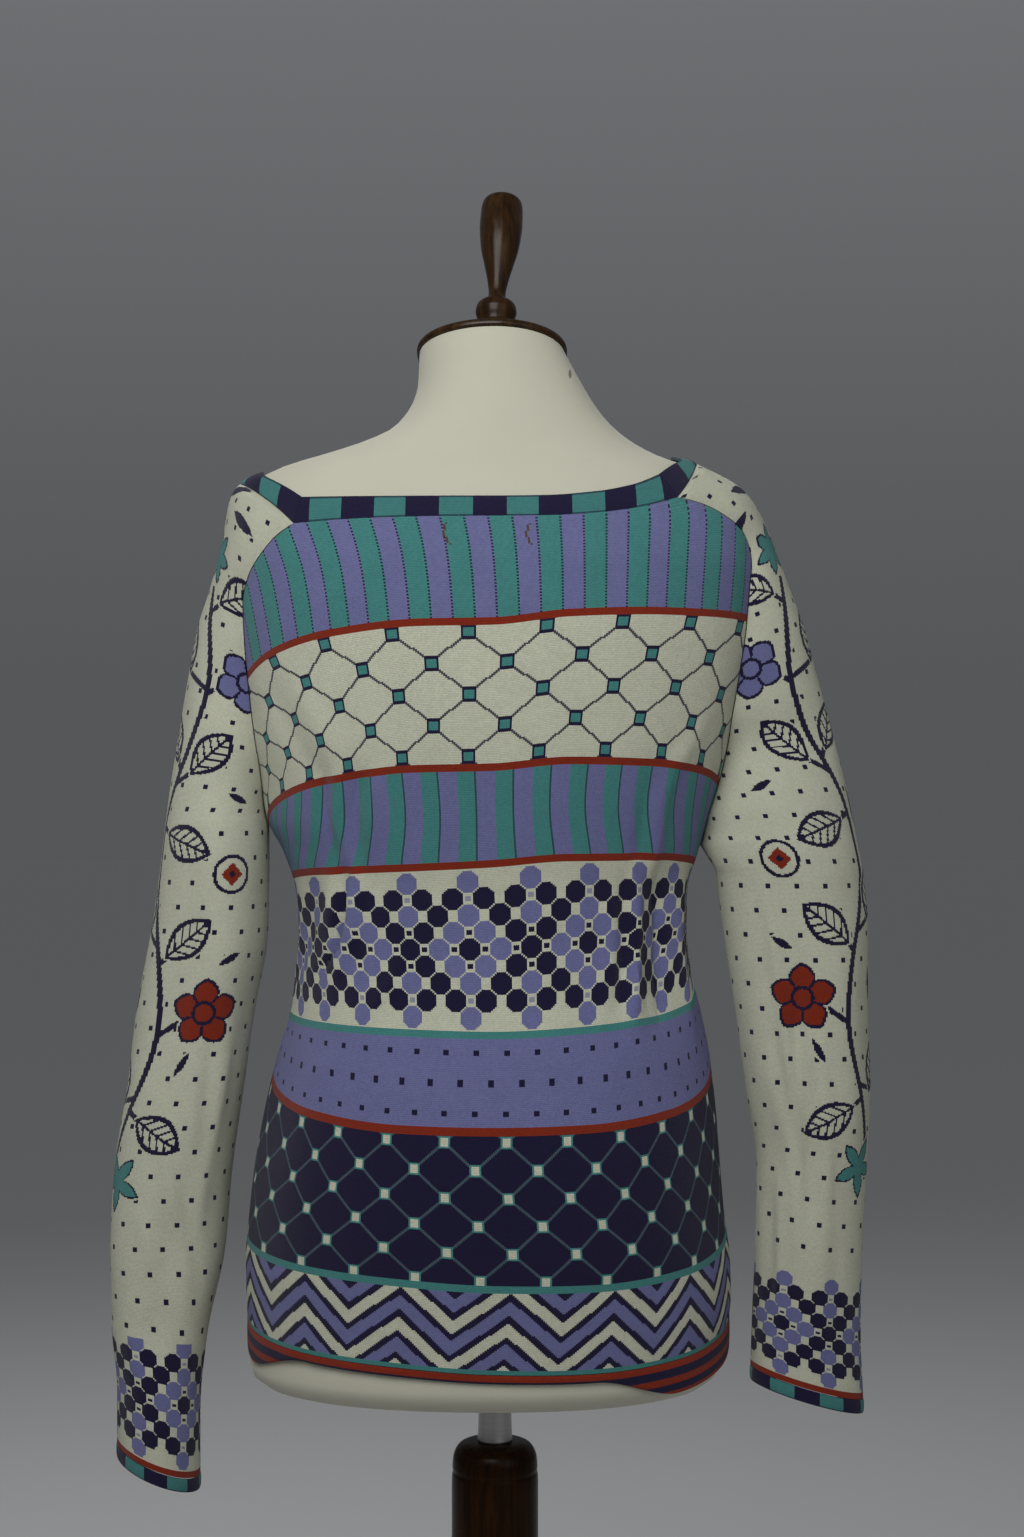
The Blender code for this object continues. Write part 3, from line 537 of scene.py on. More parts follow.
@dataclass(frozen=True)
class Term:
    """A number worked out at each point of a surface by math nodes."""

    source: Socket

    def join(self, operation: str, *others: "Term | float") -> "Term":
        """One math node on this number and others."""
        node = self.source.id_data.nodes.new("ShaderNodeMath")
        node.operation = operation
        return Term(feed(node, dict(enumerate((self, *others)))).outputs[0])

    def __add__(self, other: "Term | float") -> "Term":
        """The sum."""
        return self.join("ADD", other)

    def __sub__(self, other: "Term | float") -> "Term":
        """The difference."""
        return self.join("SUBTRACT", other)

    def __mul__(self, other: "Term | float") -> "Term":
        """The product."""
        return self.join("MULTIPLY", other)

    def __truediv__(self, other: "Term | float") -> "Term":
        """The quotient."""
        return self.join("DIVIDE", other)

    def __abs__(self) -> "Term":
        """The size."""
        return self.join("ABSOLUTE")

    def floor(self) -> "Term":
        """The whole number at or below."""
        return self.join("FLOOR")

    def near(self) -> "Term":
        """The nearest whole number."""
        return self.join("ROUND")

    def loop(self, period: float) -> "Term":
        """What is left over past the last whole period, never below 0."""
        return self.join("FLOORED_MODULO", period)

    def below(self, other: "Term | float") -> "Term":
        """1 where it is below the other, else 0."""
        return self.join("LESS_THAN", other)

    def above(self, other: "Term | float") -> "Term":
        """1 where it is above the other, else 0."""
        return self.join("GREATER_THAN", other)

    def least(self, other: "Term | float") -> "Term":
        """The lesser of the two."""
        return self.join("MINIMUM", other)

    def most(self, other: "Term | float") -> "Term":
        """The greater of the two."""
        return self.join("MAXIMUM", other)


Colour = Socket | Yarn
Feed = Term | Yarn | Socket | float | tuple[float, ...]


def feed(node: bpy.types.Node, feeds: dict[str | int, Feed]) -> bpy.types.Node:
    """Sets or links a node's sockets.

    Args:
        node: The node.
        feeds: What each socket takes, by its name or number.

    Returns:
        The same node.
    """
    for key, value in feeds.items():
        socket = node.inputs[key]
        value = value.source if isinstance(value, Term) else value
        value = value.value if isinstance(value, Yarn) else value
        if isinstance(value, Socket):
            node.id_data.links.new(value, socket)
        else:
            socket.default_value = (*value, 1) if socket.type == "RGBA" else value
    return node


def mix(nodes: bpy.types.Nodes, share: Feed, under: Feed, upper: Feed, blend: str = "MIX") -> Socket:
    """Lays a share of one colour over another.

    Args:
        nodes: The material's nodes.
        share: How much of the upper colour is laid on.
        under: The colour below.
        upper: The colour on top.
        blend: How they blend.

    Returns:
        The colour that comes of it.
    """
    node = nodes.new("ShaderNodeMix")
    node.data_type = "RGBA"
    node.blend_type = blend
    return feed(node, {0: share, 6: under, 7: upper}).outputs[2]


def over(share: Term, under: Colour, upper: Colour) -> Socket:
    """The upper colour where the share is 1, and the under one where it is 0."""
    return mix(share.source.id_data.nodes, share, under, upper)


class Paint:
    """A new material and its nodes."""

    def __init__(self, name: str) -> None:
        """Starts the material."""
        self.made = bpy.data.materials.new(name)
        self.made.use_nodes = True
        self.nodes = self.made.node_tree.nodes

    def node(self, kind: str, **feeds: Feed) -> bpy.types.Node:
        """A new node, fed through sockets of these names."""
        return feed(self.nodes.new(f"ShaderNode{kind}"), feeds)

    def where(self, kind: str = "Object") -> Socket:
        """The coordinates of a kind."""
        return self.node("TexCoord").outputs[kind]

    def parts(self, kind: str = "Object") -> list[Term]:
        """The three numbers of the coordinates of a kind."""
        return [Term(part) for part in self.node("SeparateXYZ", Vector=self.where(kind)).outputs]

    def noise(self, at: Socket, scale: float, detail: float = 2, distortion: float = 0) -> Term:
        """A cloudy noise."""
        node = self.node("TexNoise", Vector=at, Scale=scale, Detail=detail, Distortion=distortion)
        return Term(node.outputs[0])

    def bump(self, strength: float, distance: float, height: Term) -> Socket:
        """The way out of a face that a height roughens, for a depth in millimetres."""
        return self.node("Bump", Strength=strength, Distance=distance * MM, Height=height).outputs[0]

    def finish(self, colour: Feed, roughness: Feed, **feeds: Feed) -> Material:
        """Feeds the material's shader.

        Args:
            colour: Its base colour.
            roughness: Its roughness.
            feeds: What other sockets take, by their names with _ for each gap.

        Returns:
            The material.
        """
        named = {name.replace("_", " "): value for name, value in feeds.items()}
        feed(self.nodes["Principled BSDF"], {"Base Color": colour, "Roughness": roughness, **named})
        return self.made


@dataclass(frozen=True)
class Stitches:
    """The knit's coordinates: the middle of each whole stitch, counted in wales and courses."""

    wale: Term
    course: Term

    def nearest(self, at_wale: float, at_course: float, wales: float, courses: float) -> tuple[Term, ...]:
        """Place in a staggered repeat, where every other row is shifted by half.

        Args:
            at_wale: A motif's middle, in wales.
            at_course: That middle's course.
            wales: Half the distance between two motifs of a row.
            courses: The distance between two rows.

        Returns:
            Distances across and up to the nearest motif's middle, and that motif's column and row.
        """
        x, y = (self.wale - at_wale) / wales, (self.course - at_course) / courses
        p, q = ((x + y) * 0.5).near(), ((x - y) * 0.5).near()
        col, row = p + q, p - q
        return (x - col) * wales, (y - row) * courses, col, row


class Pattern:
    """A pattern that is drawn stitch by stitch."""

    def draw(self, s: Stitches) -> Colour:
        """The colour of each stitch.

        Args:
            s: The stitches.

        Returns:
            Their colour, worked out by nodes, or one yarn.
        """
        raise NotImplementedError


@dataclass(frozen=True)
class Plain(Pattern):
    """One yarn."""

    yarn: Yarn

    def draw(self, s: Stitches) -> Colour:
        """The colour of each stitch."""
        return self.yarn


@dataclass(frozen=True)
class Stripes(Pattern):
    """Upright stripes in lilac and teal, with a thin dark line between them."""

    wide: float = 10
    start: float = -2
    dotted: bool = True
    pulls: tuple[tuple[float, float], ...] = ()

    def draw(self, s: Stitches) -> Colour:
        """The colour of each stitch."""
        place = (s.wale - self.start).loop(2 * self.wide)
        colour = over(place.above(self.wide), Yarn.LILAC, Yarn.TEAL)
        edge = place.loop(self.wide).below(1)
        if self.dotted:
            edge = edge * s.course.loop(2).below(1)
        else:
            edge = edge * place.above(self.wide) * 0.7
        colour = over(edge, colour, Yarn.NAVY)
        for wale, course in self.pulls:
            fall = s.course - course
            thread = abs(s.wale - wale + abs(fall) * 0.25).below(0.5) * abs(fall).below(7)
            colour = over(thread, colour, Yarn.BROWN)
        return colour


@dataclass(frozen=True)
class Trellis(Pattern):
    """Squares in staggered rows, joined by thin diagonals."""

    ground: Yarn
    edge: Yarn
    middle: Yarn
    line: Yarn
    half_period: float
    at_wale: float
    at_course: float
    row: float
    size: tuple[float, float]
    core: tuple[float, float]
    fade: float
    lean: float

    def draw(self, s: Stitches) -> Colour:
        """The colour of each stitch."""
        dx, dy, _, _ = s.nearest(self.at_wale, self.at_course, self.half_period, self.row)
        dx, dy = abs(dx), abs(dy)
        slant = abs(dx / self.half_period - dy / self.row + self.lean / self.half_period)
        thin = slant.below((0.55 + self.lean) / self.half_period)
        colour = over(thin * self.fade, self.ground, self.line)
        square = (dx / self.size[0]).most(dy / self.size[1])
        colour = over(square.below(1), colour, self.edge)
        core = (dx / self.core[0]).most(dy / self.core[1])
        return over(core.below(1), colour, self.middle)


@dataclass(frozen=True)
class PinDots(Pattern):
    """Small upright dots in staggered rows."""

    ground: Yarn
    half_period: float
    row: float
    at_wale: float
    at_course: float

    def draw(self, s: Stitches) -> Colour:
        """The colour of each stitch."""
        _, _, col, row = s.nearest(self.at_wale, self.at_course, self.half_period, self.row)
        middle = (col * self.half_period + self.at_wale).floor() + 0.5
        dx, dy = s.wale - middle, s.course - (row * self.row + self.at_course)
        return over(abs(dx).below(1.4) * abs(dy).below(1.8), self.ground, Yarn.NAVY)


@dataclass(frozen=True)
class Octagons(Pattern):
    """Octagons in staggered rows with small squares between them, coloured ring by ring."""

    wales: float
    courses: float
    at_wale: float
    top_course: float
    rows: int = 8

    def draw(self, s: Stitches) -> Colour:
        """The colour of each stitch."""
        flipped = s.course * -1 + self.top_course
        t = Stitches(s.wale, flipped)
        dx, dy, col, row = t.nearest(self.at_wale, 0, self.wales, self.courses)
        x, y = abs(dx) / self.wales, abs(dy) / self.courses
        middle = self.rows / 2
        shape = x.below(0.71) * y.below(0.65) * (x + y).below(0.96)
        inside = row.above(0.5) * row.below(self.rows - 0.5)
        peak = abs((col + 2).loop(4) - 2).below(0.5) * row.above(-0.5) * row.below(self.rows + 0.5)
        shown = inside.most(peak)
        rise = abs(row - middle)
        ring = abs((col + 2).loop(4) - 2) + rise
        beside = abs(abs(col.loop(8) - 4) - 1).above(0.5)
        lilac = (abs(ring - 2).below(0.5) * beside).most(rise.above(middle - 0.5))
        colour = over(shape * shown, Yarn.CREAM, over(lilac, Yarn.NAVY, Yarn.LILAC))
        gx, gy, gap_col, gap_row = t.nearest(self.at_wale + self.wales, 0, self.wales, self.courses)
        small = abs(gx).below(1.2) * abs(gy).below(1.2)
        gap_rise = abs(gap_row - middle)
        off = abs((gap_col + 1 + 2).loop(4) - 2)
        dark = (off + gap_rise).below(1.5)
        pale = off.below(0.5) * abs(gap_rise - (middle - 1)).below(0.5)
        colour = over(small * dark, colour, Yarn.NAVY)
        return over(small * pale * 0.7, colour, Yarn.LILAC)


@dataclass(frozen=True)
class Zigzag(Pattern):
    """Chevrons in cream, lilac and navy."""

    half_period: float
    peak_wale: float
    depth: float
    top: float
    repeat: float
    lilac: tuple[float, float]
    cream: tuple[float, float]

    def draw(self, s: Stitches) -> Colour:
        """The colour of each stitch."""
        across = (s.wale - self.peak_wale + self.half_period).loop(2 * self.half_period)
        fall = abs(across - self.half_period) * (self.depth / self.half_period)
        phase = (s.course * -1 + self.top - fall).loop(self.repeat)
        lilac = phase.above(self.lilac[0]) * phase.below(self.lilac[1])
        cream = phase.above(self.cream[0]) * phase.below(self.cream[1])
        return over(cream, over(lilac, Yarn.NAVY, Yarn.LILAC), Yarn.CREAM)


@dataclass(frozen=True)
class Blocks(Pattern):
    """Blocks in turn along a trim, with a thin dark line along both edges."""

    length: float
    start: float
    high: float
    last: float = 1e6

    def draw(self, s: Stitches) -> Colour:
        """The colour of each stitch."""
        place = s.wale - self.start
        teal = place.loop(2 * self.length).above(self.length) * abs(place - self.length / 2).below(self.last)
        edge = s.course.below(1).most(s.course.above(self.high - 1)) * 0.75
        rib = abs(s.wale.loop(2) - 1).above(0.4) * 0.16
        colour = over(teal, Yarn.NAVY, over(rib, Yarn.TEAL, Yarn.NAVY))
        return over(edge, colour, Yarn.NAVY)


@dataclass(frozen=True)
class RibStripes(Pattern):
    """The hem rib's stripes, read down from its top edge."""

    stripe: float = 5.3

    def draw(self, s: Stitches) -> Colour:
        """The colour of each stitch."""
        return over(s.course.loop(2 * self.stripe).above(self.stripe), Yarn.RED, Yarn.NAVY)


class Leaf(NamedTuple):
    """A leaf of the sleeves' vine: its middle, its turn in degrees, its length and half its width."""

    across: float
    up: float
    turn: float
    length: float
    half: float


class Twig(NamedTuple):
    """A short straight piece of stem between two points."""

    across: float
    up: float
    to_across: float
    to_up: float


class Bloom(NamedTuple):
    """A flower: its middle, its reach, its petals, how deep the notches between them are, and how round."""

    across: float
    up: float
    reach: float
    petals: int
    notch: float
    power: float
    turn: float
    fill: Yarn


@dataclass(frozen=True)
class Vine(Pattern):
    """A winding vine with leaves, flowers and a roundel down the outer back of a sleeve, on pin dots.

    Its places are millimetres from the sleeve's outer edge and up from its cuff.
    """

    wale: float = 1.16
    course: float = 0.9
    shift: float = 0
    stem: float = 2.4
    stem_middle: float = 30
    stem_sway: float = 13
    stem_period: float = 250
    stem_ends: tuple[float, float] = (214, 640)
    halo: float = 2
    twig: float = 2
    rim: float = 1.8
    leaf_halo: float = 1.6
    vein: float = 2.1
    vein_pitch: float = 7.4
    vein_slant: float = 0.8
    midrib: float = 1
    bloom_rim: float = 2.6
    bloom_line: float = 1.3
    heart: float = 0.3
    parting: float = 0.14
    roundel: tuple[float, float, float, float] = (16, 13.2, 8.6, 3)
    leaves: tuple[Leaf, ...] = table(
        Leaf,
        (58, 232, -30, 42, 12), (10, 270, 104, 38, 9.5), (58, 376, 40, 43, 12),
        (9, 398, 104, 40, 10), (50, 446, -20, 43, 12), (56, 516, 52, 43, 12),
        (14, 524, 118, 39, 10), (12, 592, 100, 38, 9.5), (58, 642, 34, 43, 12),
    )
    strokes: tuple[Leaf, ...] = table(
        Leaf,
        (24, 712, 14, 34, 4.4), (54, 694, -16, 30, 4.4), (88, 626, 60, 20, 2.8),
        (84, 482, -24, 19, 2.8), (8, 462, 84, 34, 2.6), (92, 362, 30, 18, 2.8),
        (66, 284, 62, 20, 2.6), (12, 330, 84, 28, 2.6),
    )
    twigs: tuple[Twig, ...] = table(
        Twig,
        (29, 249, 41, 242), (33, 258, 16, 254), (43, 304, 58, 314), (36, 356, 43, 363),
        (31, 370, 14, 380), (19, 458, 31, 453), (28, 490, 44, 500), (30, 500, 24, 508),
        (43, 560, 54, 570), (42, 564, 17, 574), (31, 620, 41, 630),
    )
    blooms: tuple[Bloom, ...] = table(
        Bloom,
        (24, 662, 21, 6, 0.5, 0.8, 0.2, Yarn.TEAL), (72, 578, 25, 5, 0.66, 0.5, 0.1, Yarn.LILAC),
        (78, 322, 26, 5, 0.6, 0.55, 0.75, Yarn.RED),
        (27, 196, 24, 5, 0.34, 1.0, 0.35, Yarn.TEAL),
    )
    roundel_at: tuple[float, float] = (88, 424)
    front_shift: float = 41

    def turned(self, x: Term, y: Term, leaf: Leaf) -> tuple[Term, Term]:
        """Place along and across a leaf, from its middle."""
        a = math.radians(leaf.turn)
        x, y = x - leaf.across, y - leaf.up
        return x * math.cos(a) + y * math.sin(a), y * math.cos(a) - x * math.sin(a)

    def edge(self, along: Term, leaf: Leaf) -> Term:
        """Half a leaf's width at a place along it."""
        t = along / leaf.length + 0.5
        return t * (t * -1 + 1) * (4 * leaf.half)

    def draw_leaf(self, x: Term, y: Term, colour: Colour, leaf: Leaf) -> Socket:
        """An outlined leaf with a midrib and side veins."""
        along, across = self.turned(x, y, leaf)
        side = abs(across)
        inner = self.edge(along, leaf) - side
        colour = over(inner.above(-self.rim - self.leaf_halo), colour, Yarn.CREAM)
        veins = (along - side * self.vein_slant).loop(self.vein_pitch).below(self.vein)
        veins = veins.most(side.below(self.midrib)) * inner.above(0)
        line = abs(inner).below(self.rim).most(veins) * abs(along).below(leaf.length / 2 + 1.5)
        return over(line, colour, Yarn.NAVY)

    def draw_twig(self, x: Term, y: Term, colour: Colour, twig: Twig) -> Socket:
        """A short piece of stem."""
        dx, dy = twig.to_across - twig.across, twig.to_up - twig.up
        px, py = x - twig.across, y - twig.up
        share = ((px * dx + py * dy) / (dx * dx + dy * dy)).most(0).least(1)
        away = (px - share * dx).join("POWER", 2) + (py - share * dy).join("POWER", 2)
        return over(away.below(self.twig**2), colour, Yarn.NAVY)

    def draw_bloom(self, x: Term, y: Term, colour: Colour, bloom: Bloom) -> Socket:
        """An outlined flower with a line between its petals and a ring round its heart."""
        px, py = x - bloom.across, y - bloom.up
        radius = (px * px + py * py).join("SQRT")
        turn = py.join("ARCTAN2", px) * (bloom.petals / (2 * math.pi)) + bloom.turn
        arm = abs(turn.loop(1) - 0.5) * 2
        edge = (arm.join("POWER", bloom.power) * (1 - bloom.notch) + bloom.notch) * bloom.reach
        colour = over(radius.below(edge + self.halo), colour, Yarn.CREAM)
        colour = over(radius.below(edge), colour, Yarn.NAVY)
        colour = over(radius.below(edge - self.bloom_rim), colour, bloom.fill)
        if bloom.power > 0.7:
            return colour
        heart = self.heart * bloom.reach
        parting = arm.below(self.parting) * radius.above(heart)
        ring = abs(radius - heart).below(self.bloom_line)
        return over(parting.most(ring) * radius.below(edge), colour, Yarn.NAVY)

    def draw_roundel(self, x: Term, y: Term, colour: Colour) -> Socket:
        """A round ring about a small red diamond."""
        px, py = x - self.roundel_at[0], y - self.roundel_at[1]
        radius, reach = (px * px + py * py).join("SQRT"), abs(px) + abs(py)
        halo, ring, diamond, core = self.roundel
        colour = over(radius.below(halo), colour, Yarn.CREAM)
        colour = over(abs(radius - ring).below(self.bloom_line), colour, Yarn.NAVY)
        colour = over(reach.below(diamond), colour, Yarn.RED)
        return over(reach.below(core), colour, Yarn.NAVY)

    def draw(self, s: Stitches) -> Colour:
        """The colour of each stitch."""
        dx, dy, _, _ = s.nearest(4.5, 4, 9, 20)
        colour: Colour = over(abs(dx).below(1.2) * abs(dy).below(2), Yarn.CREAM, Yarn.NAVY)
        back = s.wale.above(0)
        x = abs(s.wale) * self.wale
        y = s.course * self.course + (back * -1 + 1) * self.front_shift + self.shift
        low, high = self.stem_ends
        pace = 2 * math.pi / self.stem_period
        sway = (y * pace).join("SINE") * self.stem_sway + self.stem_middle
        steep = (y * pace).join("COSINE") * (self.stem_sway * pace)
        away = abs(x - sway) / (steep * steep + 1).join("SQRT")
        shown = y.above(low) * y.below(high)
        colour = over(away.below(self.stem + self.halo) * shown, colour, Yarn.CREAM)
        colour = over(away.below(self.stem) * shown, colour, Yarn.NAVY)
        for twig in self.twigs:
            colour = self.draw_twig(x, y, colour, twig)
        for leaf in self.leaves:
            colour = self.draw_leaf(x, y, colour, leaf)
        for stroke in self.strokes:
            along, across = self.turned(x, y, stroke)
            inner = self.edge(along, stroke) - abs(across)
            colour = over(inner.above(-self.rim), colour, Yarn.CREAM)
            colour = over(inner.above(0), colour, Yarn.NAVY)
        colour = self.draw_roundel(x, y, colour)
        for bloom in self.blooms:
            colour = self.draw_bloom(x, y, colour, bloom)
        return colour


@dataclass(frozen=True)
class Knit:
    """A knitted cloth: its stitch relief, which is also painted into its colour as shade in the grooves
    between wales and as highlight on the stitch crowns, its yarn's unevenness and its nap.
    """

    name: str
    pattern: Pattern
    relief: float = 0.6
    slant: float = 0.9
    uneven: float = 0.14
    cloudy: float = 0.16
    # The next two set the painted shade left in the grooves between wales, and how much lighter the stitch
    # crowns are painted above it.
    lit: float = 0.68
    groove: float = 0.56

    def dress(self) -> Material:
        """Makes the material, which reads wales and courses from the piece's UV map."""
        paint = Paint(self.name)
        u, v, _ = paint.parts("UV")
        leaning = v + abs(u.loop(1) - 0.5) * self.slant
        stitch = Stitches(u.floor() + 0.5, leaning.floor() + 0.5)
        cell = paint.node("CombineXYZ", X=stitch.wale, Y=stitch.course)
        grain = paint.node("TexWhiteNoise", Vector=cell.outputs[0])
        grain.noise_dimensions = "2D"
        spread = Term(grain.outputs[0]) * self.uneven + paint.noise(paint.where(), 38, 4) * self.cloudy
        groove = abs((u * 2).loop(1) - 0.5) * 2
        ladder = abs(leaning.loop(1) - 0.5) * 2
        height = (groove * groove * -1 + 1) * (ladder * ladder * -0.8 + 1)
        # The relief's height also shades the colour, darker in the grooves between wales and lighter on the
        # stitch crowns: painted shade and painted highlight, over the yarn's random tone.
        tone_and_relief_shade = (spread + (1 - (self.uneven + self.cloudy) / 2)) * (height * self.groove + self.lit)
        return paint.finish(
            mix(paint.nodes, 1, self.pattern.draw(stitch), tone_and_relief_shade, "MULTIPLY"),
            0.92,
            Normal=paint.bump(self.relief, 0.5, height),
            Specular_IOR_Level=0.12,
            Sheen_Weight=0.1,
            Sheen_Roughness=0.5,
        )


@dataclass(frozen=True)
class FormCloth:
    """The form's smooth woven cover, with a small torn place under the neck."""

    name: str = "form cover cloth"
    colour: tuple[float, float, float] = (0.53, 0.52, 0.42)
    shaded: tuple[float, float, float] = (0.46, 0.445, 0.35)
    thread: float = 260
    tear: tuple[float, float] = (-55, 1485)
    tear_size: tuple[float, float] = (1.3, 4)

    def dress(self) -> Material:
        """Makes the material, which reads Object coordinates."""
        paint = Paint(self.name)
        cloud = paint.noise(paint.where(), 9, 6)
        across, depth, up = (part / MM for part in paint.parts())
        away = zip((across, up), self.tear, self.tear_size)
        wide, tall = (((part - middle) / size).join("POWER", 2) for part, middle, size in away)
        torn = (wide + tall + cloud * 0.8).below(1.2) * depth.above(-20)
        threads = []
        for direction in ("X", "Z"):
            wave = paint.node("TexWave", Vector=paint.where(), Scale=self.thread, Distortion=1.2, Detail=1)
            wave.bands_direction = direction
            threads.append(Term(wave.outputs[1]))
        return paint.finish(
            over(torn * 0.75, mix(paint.nodes, cloud, self.colour, self.shaded), Yarn.BROWN),
            0.8,
            Normal=paint.bump(0.16, 0.3, threads[0].most(threads[1])),
            Sheen_Weight=0.15,
        )


@dataclass(frozen=True)
class Wood:
    """A dark polished wood, or horn, with a faint grain along the piece."""

    name: str
    dark: tuple[float, float, float]
    light: tuple[float, float, float]
    roughness: float = 0.34
    tilt: float = 0.0
    gloss: float = 0.12

    def dress(self) -> Material:
        """Makes the material, which reads Object coordinates."""
        paint = Paint(self.name)
        along = paint.node("Mapping", Vector=paint.where(), Rotation=(self.tilt, 0, 0), Scale=(1, 1, 0.07))
        grain = paint.noise(along.outputs[0], 260, 6, 0.6)
        tones = paint.node("ValToRGB", Fac=grain)
        for end, place, colour in zip(tones.color_ramp.elements, (0.36, 0.72), (self.dark, self.light)):
            end.position = place
            end.color = (*colour, 1)
        return paint.finish(
            tones.outputs[0],
            paint.noise(paint.where(), 34) * 0.16 + (self.roughness - 0.08),
            Normal=paint.bump(0.12, 0.25, grain),
            Specular_IOR_Level=self.gloss,
        )


@dataclass(frozen=True)
class Steel:
    """Brushed steel, turned round its length."""

    name: str = "peg steel"
    dark: tuple[float, float, float] = (0.36, 0.36, 0.35)
    light: tuple[float, float, float] = (0.62, 0.62, 0.6)

    def dress(self) -> Material:
        """Makes the material, which reads Object coordinates."""
        paint = Paint(self.name)
        rings = paint.node("Mapping", Vector=paint.where(), Scale=(20, 20, 900))
        lines = paint.noise(rings.outputs[0], 1, 5)
        return paint.finish(mix(paint.nodes, lines, self.dark, self.light), lines * 0.3 + 0.2, Metallic=1)


# ---------------------------------------------------------------- making pieces


def put_down() -> None:
    """Leaves edit mode, with nothing selected."""
    if bpy.context.mode != "OBJECT":
        bpy.ops.object.mode_set(mode="OBJECT")
    bpy.ops.object.select_all(action="DESELECT")


def pick(obj: Object) -> None:
    """Makes a piece the only selected one, and the active one."""
    put_down()
    obj.select_set(True)
    bpy.context.view_layer.objects.active = obj


def apply_modifier(obj: Object, kind: str, **settings: float | bool | str) -> None:
    """Adds a modifier to a piece and applies it.

    Args:
        obj: The piece.
        kind: The modifier's kind.
        settings: Its settings, by name.
    """
    pick(obj)
    modifier = obj.modifiers.new(kind.title(), kind)
    for name, value in settings.items():
        setattr(modifier, name, value)
    bpy.ops.object.modifier_apply(modifier=modifier.name)


def shade(obj: Object, angle: float) -> None:
    """Shades a piece smoothly, except over edges sharper than an angle in degrees."""
    pick(obj)
    bpy.ops.object.shade_smooth_by_angle(angle=math.radians(angle))
    put_down()


def close_ends(obj: Object) -> None:
    """Closes a piece's open ends and turns its faces outwards."""
    pick(obj)
    bpy.ops.object.mode_set(mode="EDIT")
    bpy.ops.mesh.select_all(action="DESELECT")
    bpy.ops.mesh.select_mode(type="EDGE")
    bpy.ops.mesh.select_non_manifold()
    bpy.ops.mesh.fill_holes(sides=0)
    bpy.ops.mesh.select_all(action="SELECT")
    bpy.ops.mesh.normals_make_consistent(inside=False)
    put_down()


def of_faces(mesh: bpy.types.Mesh, name: str) -> Array:
    """One property of a mesh's faces, as rows of three numbers."""
    values = np.empty(len(mesh.polygons) * 3)
    mesh.polygons.foreach_get(name, values)
    return values.reshape(-1, 3)


@dataclass
class Cloth:
    """A sheet of cloth laid from a grid: rows of points, with the stitch that each point falls on.

    Its courses are those of each point, or those at the lower and the upper edge of each strip between rows.
    """

    BODY_REACH = 160

    name: str
    points: Array
    wales: Array
    courses: Array
    materials: Sequence[Material]
    zones: Array | None = None
    wall: float = WALL

    def lay(self) -> Object:
        """Lays the sheet.

        Returns:
            The piece: a grid primitive drawn over the points, merged where it meets itself, with a wall.
        """
        rows, cols = self.points.shape[:2]
        put_down()
        bpy.ops.mesh.primitive_grid_add(x_subdivisions=cols - 1, y_subdivisions=rows - 1, size=1)
        obj = bpy.context.object
        obj.name = obj.data.name = self.name
        mesh = obj.data
        mesh.vertices.foreach_set("co", (self.points * MM).reshape(-1))
        loops = np.empty(len(mesh.loops), int)
        mesh.loops.foreach_get("vertex_index", loops)
        row_of = loops.reshape(-1, 4).min(axis=1) // cols
        if self.courses.shape == (rows, cols):
            courses = self.courses.reshape(-1)[loops]
        else:
            strip = np.repeat(row_of, 4)
            courses = np.where(loops // cols > strip, self.courses[strip, 1], self.courses[strip, 0])
        uv = np.stack([self.wales.reshape(-1)[loops], courses], axis=-1).astype(np.float32)
        mesh.uv_layers.active.name = "stitches"
        mesh.uv_layers.active.data.foreach_set("uv", uv.reshape(-1))
        for material in self.materials:
            mesh.materials.append(material)
        if self.zones is not None:
            mesh.polygons.foreach_set("material_index", self.zones[row_of].astype(np.int32))
        mesh.update()
        return self.finish(obj)

    def finish(self, obj: Object) -> Object:
        """Merges, turns outwards, thickens and smooths the sheet.

        A sheet round the body faces away from the body's axis, and a sleeve away from its own middle.

        Args:
            obj: The sheet as it was laid.

        Returns:
            The same piece.
        """
        bpy.ops.object.mode_set(mode="EDIT")
        bpy.ops.mesh.select_all(action="SELECT")
        bpy.ops.mesh.remove_doubles(threshold=0.02 * MM)
        bpy.ops.object.mode_set(mode="OBJECT")
        middles = of_faces(obj.data, "center")[:, :2]
        on_body = abs(self.points[..., 0].mean()) < self.BODY_REACH
        outward = middles if on_body else middles - middles.mean(axis=0)
        if (of_faces(obj.data, "normal")[:, :2] * outward).sum() < 0:
            obj.data.flip_normals()
        obj.data.update()
        if self.wall:
            apply_modifier(obj, "SOLIDIFY", thickness=self.wall * MM, offset=-1, use_rim=True)
        shade(obj, 50)
        return obj


def report(obj: Object, node: str) -> None:
    """States what a piece replaces and its body, and logs it.

    Args:
        obj: The piece.
        node: The solid that it replaces.
    """
    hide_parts(node)
    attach(obj, BODY)
    LOG.info("%s: %d faces for %s", obj.name, len(obj.data.polygons), node)


def hang(
    obj: Object,
    node: str,
) -> None:
    """Reports a hanging sheet of cloth.

    Args:
        obj: The piece.
        node: The solid that it replaces.
    """
    report(obj, node)


